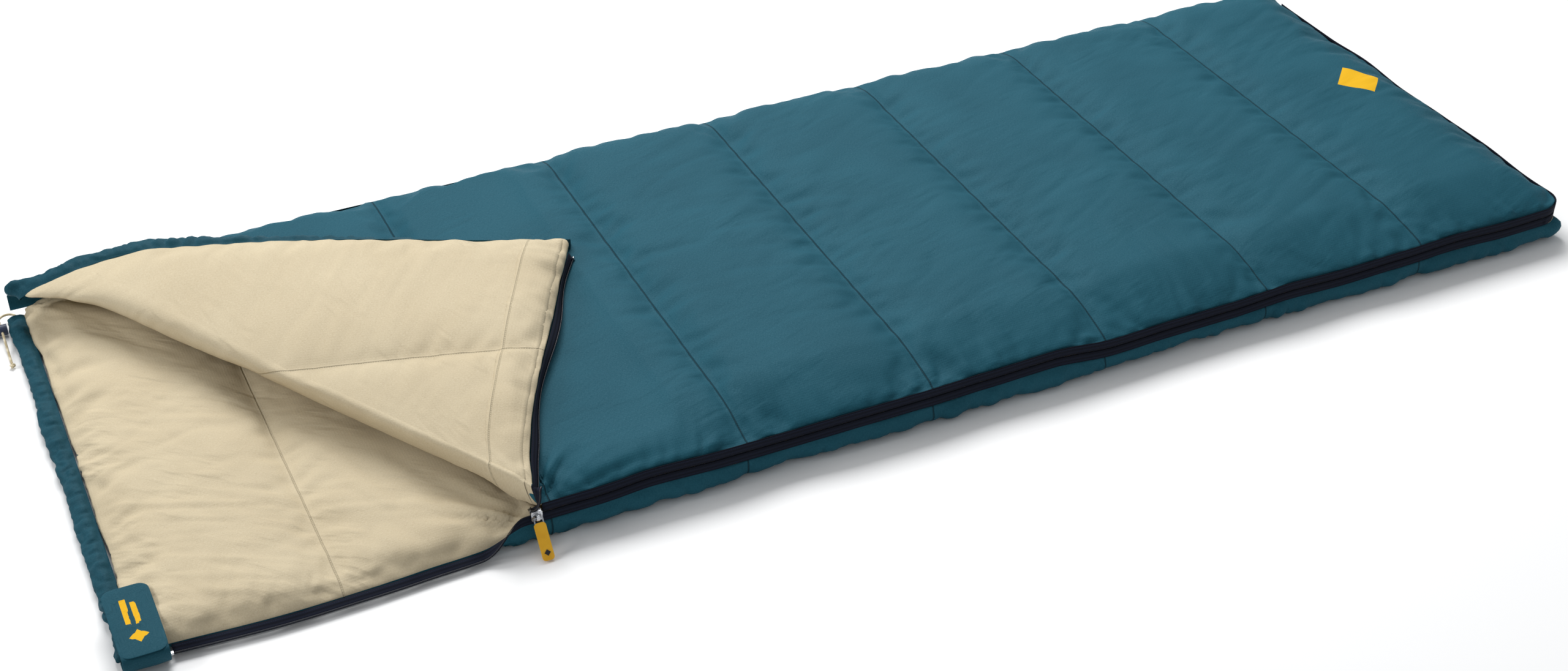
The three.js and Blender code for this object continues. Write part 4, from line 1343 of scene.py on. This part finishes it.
def bottom_hem(material):
    low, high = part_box("bottom_hem")
    ys = np.linspace(low.y - 0.004, high.y, 60)
    route = np.column_stack([0 * ys + low.x + 0.0140, ys, 0 * ys + 0.0100])
    bottom, _ = ruched("hem_bottom", route, np.tile([-1.0, 0, 0], (len(ys), 1)), 0.0140,
                       0.0088, material, 41)
    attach(bottom, "bag")
    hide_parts("bottom_hem")


def corner_hem(material, cord_material, roll_end):
    """The turned corner's hem, which starts on the roll, and the cord in it."""
    bend = roll_end[round(HEM_FROM * len(roll_end)):]
    along = (TOP_START - HEAD + FOLD_NORMAL[0] * ROLL_AT_HEAD) / (
        FOLD_AXIS[0] + FOLD_NORMAL[0] * (ROLL_AT_HEAD - ROLL_AT_SLIDER) / FOLD_LENGTH)
    first_y = FAR + FOLD_AXIS[1] * along - FOLD_NORMAL[1] * cut_offset(along)
    ys = np.linspace(first_y, NEAR + 0.004, 60)
    edge = turn_over(np.column_stack([0 * ys + TOP_START, ys, 0 * ys + HEAD_RIM]))
    route = np.concatenate([bend[:-1], edge])
    share = smooth(np.arange(len(route)), 0, len(bend) + 4)[:, None]
    out = unit(HEM_OUT * share + unit(np.array((-0.75, 0.66, 0.1))) * (1 - share))
    route += out * 0.0080
    top, path = ruched("hem_corner", route, out, 0.0142, 0.0075, material, 47, 1.25)
    bend_length = step_lengths(route[:len(bend)]).sum()
    gone = np.linspace(0, step_lengths(path).sum(), len(path))
    share = HEM_FROM + (1 - HEM_FROM) * np.clip(gone / bend_length, 0, 1)
    follow(top, np.repeat(share, len(top.data.vertices) // len(path)))
    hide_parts("corner_hem")
    start = round(len(path) * 0.10)
    inner_cord = round_tube("drawcord_corner", path[start:-2:4], 0.00175, cord_material)
    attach(inner_cord, "corner")
    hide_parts("corner_drawcord")


def draped_strip(name, on, x0, x1, y0, y1, material):
    """A flat strip of doubled cloth on the lower face of a closed piece."""
    tree = BVHTree.FromPolygons(
        [tuple(p) for p in coordinates(on.data)],
        [tuple(p.vertices) for p in on.data.polygons])
    xs = np.arange(x0, x1, STRIP_STEP)
    ys = np.linspace(y0, y1, 12)
    upper, lower = [], []
    for x in xs:
        for y in ys:
            free_edge = abs(y - y1) < 1e-6
            across = y + (0.0012 * math.sin(x * 61) if free_edge else 0)
            hit = tree.ray_cast(Vector((x, across, 0)), Vector((0, 0, 1)))[0]
            z = hit.z if hit is not None else TOP_RIM
            depth = 0.2 if free_edge or abs(y - y0) < 1e-6 else 1.0
            upper.append((x, across, z + 0.0004))
            lower.append((x, across, z - depth * STRIP_THICK))
    index = np.arange(len(xs) * len(ys)).reshape(len(xs), len(ys))
    quads = grid_quads(index)
    rim = np.concatenate([index[:, 0], index[-1, 1:], index[-2::-1, -1], index[0, -2:0:-1]])
    around = np.roll(rim, -1)
    walls = np.stack([rim, around, around + index.size, rim + index.size], -1)
    faces = np.concatenate([quads, walls, quads[:, ::-1] + index.size])
    which = np.repeat([0, 1], [len(quads) + len(walls), len(quads)])
    points = np.array(upper + lower)
    flat = points * (1, 1, 0)
    piece = new_piece(name, points, faces, flat, [material, material.copy()], which)
    outside_out(piece)
    return piece


def far_side(material):
    """The shell cloth that runs round the folded long side from one quilt to the other."""
    xs = np.arange(HEAD + 0.008, FOOT - FOOT_RADIUS + 0.022, STRIP_STEP)
    angles = np.linspace(-math.pi / 2, math.pi / 2, 15)
    sunk = FAR_TOP_RIM - 0.0135 * (1 - smooth(xs, HEAD, HEAD + 0.10))
    centre, half = (sunk + FAR_BOTTOM_RIM) / 2, (sunk - FAR_BOTTOM_RIM) / 2
    x = xs[:, None]
    slack = creased(x / 0.05, angles[None] * 0.5, 61)
    bulge = (0.0062 + 0.0012 * slack - 0.0030 * (1 - crown(x, 14))) * np.cos(angles)[None]
    side = rounding(xs - (FOOT - FOOT_RADIUS), FOOT_RADIUS)
    y = (FAR - FAR_IN - 0.002 - side)[:, None] + bulge
    z = centre[:, None] + (half[:, None] + 0.002) * np.sin(angles)[None]
    rings = np.stack([y, z], -1)
    flats = angles[None] * (FAR_TOP_RIM - FAR_BOTTOM_RIM) / 2
    piece = sheet_along_x("far_side", xs, rings, material, flats)
    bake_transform(piece)


def rounded_outline(x0, x1, y0, y1, radius):
    points, steps = [], 6
    for cx, cy, start in ((x1 - radius, y0 + radius, -90), (x1 - radius, y1 - radius, 0),
                          (x0 + radius, y1 - radius, 90), (x0 + radius, y0 + radius, 180)):
        for i in range(steps + 1):
            angle = math.radians(start + 90 * i / steps)
            points.append((cx + radius * math.cos(angle), cy + radius * math.sin(angle)))
    return np.array(points)


def closure_flap(material):
    """A soft doubled flap over the zip's end, rounded at its corners."""
    low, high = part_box("closure_flap")
    outline = rounded_outline(low.x, high.x, low.y, high.y, 0.014)
    centre = outline.mean(0)
    shares = np.array([1.0, 0.985, 0.95, 0.88, 0.7, 0.45, 0.2])
    points = np.concatenate([centre + (outline - centre) * share for share in shares])
    full = np.repeat(np.sqrt(1 - shares ** 6), len(outline))
    wave = 0.0012 * (value_noise(points[:, 0] / 0.03, points[:, 1] / 0.04, 71) - 0.5)
    ridge = 0.0010 * creased(points[:, 0] / 0.016, points[:, 1] / 0.05, 73)
    middle, thick = (low.z + high.z) / 2 + wave, (high.z - low.z) / 2
    upper = np.column_stack([points, middle + (0.15 + full) * thick + ridge * full])
    lower = np.column_stack([points, middle - (0.15 + full) * thick])
    count = len(outline)
    faces = []
    for base, flip in ((0, 1), (len(points), -1)):
        for r in range(len(shares) - 1):
            for j in range(count):
                a, b = base + r * count + j, base + r * count + (j + 1) % count
                faces.append((a, b, b + count, a + count)[::flip])
        faces.append(tuple(base + (len(shares) - 1) * count + j for j in range(count))[::flip])
    for j in range(count):
        k = (j + 1) % count
        faces.append((len(points) + j, len(points) + k, k, j))
    made = np.concatenate([upper, lower])
    flap = new_piece("flap", made, faces, made * (1, 1, 0), [material])
    subdivided(flap)
    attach(flap, "closure_flap")
    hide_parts("closure_flap")


def flap_root(material):
    """The flap's sewn root: it wraps down round the zip's end to the underside."""
    low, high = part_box("closure_flap")
    xs = np.linspace(low.x + 0.0005, high.x - 0.0005, 16)
    top = (low.z + high.z) / 2
    edge = low.y + 0.004
    profile = np.array([
        (edge + 0.010, top - 0.0004), (edge, top - 0.0006), (edge - 0.0042, top - 0.003),
        (edge - 0.0055, top - 0.009), (edge - 0.0035, top - 0.018), (edge + 0.002, top - 0.026),
        (edge + 0.010, 0.0055), (edge + 0.020, 0.0030), (edge + 0.034, 0.0024)])
    rings = np.repeat(profile[None], len(xs), 0)
    ripple = 0.0012 * (value_noise(xs / 0.02, 0, 75) - 0.5)
    rings[:, 2:7, 0] += ripple[:, None]
    root = sheet_along_x("flap_wrap", xs, rings, material, distances(profile)[None])
    thicken = root.modifiers.new("Thickness", "SOLIDIFY")
    thicken.thickness = 0.0018
    thicken.offset = 0
    subdivided(root)
    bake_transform(root)
    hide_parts("flap_root")


def drawcord(material):
    """The free end of the bottom hem's cord: out of the hem, round and through the lock.

    Past the lock it sinks to the floor.
    """
    low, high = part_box("drawcord")
    hem_low, hem_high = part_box("bottom_hem")
    hem_x = (hem_low.x + hem_high.x) / 2
    lock = middle_of("cord_lock_barrel")
    radius = (hem_x - lock.x) / 2
    cord_radius = (high.z - low.z) / 2
    turn_y = high.y - cord_radius - radius
    route = [(hem_x, y, lock.z) for y in np.linspace(hem_high.y, turn_y, 5)]
    for i in range(1, 11):
        angle = math.pi * i / 10
        route.append((lock.x + radius * (1 + math.cos(angle)),
                      turn_y + radius * math.sin(angle), lock.z))
    for y in np.linspace(turn_y, turn_y - FREE_END, 13)[1:]:
        sunk = float(smooth(np.array(lock.y - 0.012 - y), 0, 0.05))
        route.append((lock.x, y, lock.z - (lock.z - cord_radius - 0.0006) * sunk))
    route = np.array(route)
    tube = round_tube("drawcord_end", route, cord_radius, material)
    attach(tube, "bag")
    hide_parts("drawcord")
    knot = cord_knot("drawcord_knot", route[-1] + np.array((0, -0.002, 0.0012)), material)
    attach(knot, "bag")


def round_tube(name, route, radius, material, sides=12):
    """A round skin along a route."""
    tangent = unit(np.gradient(route, axis=0))
    out = unit(np.cross(tangent, np.array([0.0, 0, 1])))
    up = np.cross(out, tangent)
    angles = round_angles(sides)
    ring = radius * np.stack([np.cos(angles), np.sin(angles)], -1)
    rings = np.repeat(ring[None], len(route), 0)
    return swept(name, route, out, up, rings, material, angles[None] * radius)


def cord_knot(name, place, material):
    """An overhand knot: a short thick cord wound on itself."""
    turns = np.linspace(0, 2 * math.pi, 49)
    route = np.stack([
        0.00115 * (np.sin(turns) + 2 * np.sin(2 * turns)),
        0.00115 * (np.cos(turns) - 2 * np.cos(2 * turns)),
        -0.0010 * np.sin(3 * turns)], -1)
    return round_tube(name, route + np.array(place), 0.00125, material, 8)


# ---- CAD nodes that stay ----------------------------------------------------------------
def finish_node(name, material, bevel):
    node = frame["nodes"][name]
    node.data.materials.clear()
    node.data.materials.append(material)
    if bevel:
        edge = bevelled(node, bevel)
        edge.limit_method = "ANGLE"
        edge.angle_limit = math.radians(35)
        edge.use_clamp_overlap = True
        node.data.polygons.foreach_set("use_smooth", np.full(len(node.data.polygons), True))
        weighted = node.modifiers.new("Normals", "WEIGHTED_NORMAL")
        weighted.keep_sharp = True


def pull_marks(material):
    """A plain raised diamond near the tab's tip."""
    low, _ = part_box("pull_tab")
    axis = Vector(joints["outer_pull_swing"]["pos_m"])
    down = (Vector((axis.x, low.y, low.z)) - axis).normalized()
    across = Vector((1, 0, 0))
    face = across.cross(down).normalized()
    if face.z < 0:
        face = -face
    centre = axis + down * TAB_MARK_DOWN + face * TAB_FACE
    diamond = [(0, TAB_MARK), (TAB_MARK, 0), (0, -TAB_MARK), (-TAB_MARK, 0)]
    points, count = [], len(diamond)
    for level in (0, TAB_MARK_RAISED):
        points += [tuple(centre + across * a - down * b + face * level) for a, b in diamond]
    faces = [tuple(count + j for j in range(count))]
    for j in range(count):
        k = (j + 1) % count
        faces.append((j, k, count + k, count + j))
    mark = new_piece("pull_mark", points, faces, points, [material], is_smooth=False)
    outside_out(mark)
    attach(mark, "outer_pull")


# ---- Assembly ---------------------------------------------------------------------------
make_camera()
make_studio()

flap_middle = middle_of("closure_flap")
foot_mark = marks([(FOOT - 0.088, 0.012, 0.042)], [])
flap_mark = marks([(flap_middle.x, flap_middle.y - 0.030, 0.012)],
                  [(flap_middle.x - 0.0075, flap_middle.y + 0.016, 0.0032, 0.024),
                   (flap_middle.x + 0.0045, flap_middle.y + 0.012, 0.0032, 0.020)])
shell = shell_paint("shell_cloth", printed=foot_mark)
plain_shell = shell_paint("shell_cloth_plain", seams=False)
# Darker copies of the shell cloth for the hems, the flap's root and the flap: painted shade, as
# among the hems' gathers.
shaded_hem_shell = shell_paint("shell_cloth_hem", seams=False, depth=0.72)
shaded_flap_shell = shell_paint("shell_cloth_flap", seams=False, printed=flap_mark, depth=0.80)
lining = lining_paint("lining_cloth")
facing_cloth = lining_paint("lining_cloth_facing", edge_seam=NEAR + 0.055)
tape, coil = tape_paint(), coil_paint()
metal, hook = metal_paint(), hook_paint()
yellow = moulded_paint("pull_plastic", srgb(219, 158, 10), srgb(236, 180, 34), 0.42)
navy_plastic = moulded_paint("lock_plastic", srgb(24, 32, 52), srgb(40, 50, 76), 0.45)
black_plastic = moulded_paint("mark_plastic", srgb(16, 18, 22), srgb(28, 31, 36), 0.5)
cream_cord = cord_paint()

bottom = Quilt("quilt_bottom", HEAD + HEM_WIDTH - 0.004, True, bottom_upper, bottom_lower,
               lambda x: near_rim(x) / CLOSED_RIM, [lining, shell])
inflate(bottom)
subdivided(bottom.piece)
pucker(bottom.piece, 0.0090, 13, LINING_WRINKLES)
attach(bottom.piece, "bag")
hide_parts("bottom_shell", "bottom_fill", "bottom_lining")

top = Quilt("quilt_top", TOP_START, False, top_upper, top_lower, lambda x: 0 * x,
            [shell, lining])
inflate(top)
subdivided(top.piece)
pucker(top.piece, 0.0085, 17, SHELL_WRINKLES)
facing = draped_strip("facing", top.piece, HEAD + 0.036, FOOT - 0.06, NEAR + 0.010, NEAR + 0.060,
                      facing_cloth)
main, corner, roll, crease, (head_end, slider_end) = turned_quilt(top.piece, shell, lining)
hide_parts("top_shell", "top_fill", "top_lining")
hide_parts("corner_shell", "corner_fill", "corner_lining")
facing_main, facing_corner, facing_roll = turned_facing(facing, facing_cloth)
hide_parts("draft_strip")
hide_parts("corner_facing")

bottom_hem(shaded_hem_shell)
corner_hem(shaded_hem_shell, cream_cord, head_end)
far_side(plain_shell)
lower_zip(tape, coil)
upper_zip(tape, coil)
corner_zip(tape, coil, slider_end, metal)
closure_flap(shaded_flap_shell)
flap_root(shaded_hem_shell)
drawcord(cream_cord)
for material, bevel, nodes in (
        (metal, 0.0003, ("slider_body", "slider_crown", "slider_crown_inner", "pull_link",
                         "inner_pull", "zip_end_stop", "lower_top_stop")),
        (yellow, 0.0007, ("pull_tab",)),
        (navy_plastic, 0.0005, ("cord_lock_barrel", "cord_lock_button")),
        (hook, 0.0, ("hook_patch", "loop_patch"))):
    for name in nodes:
        finish_node(name, material, bevel)
pull_marks(black_plastic)
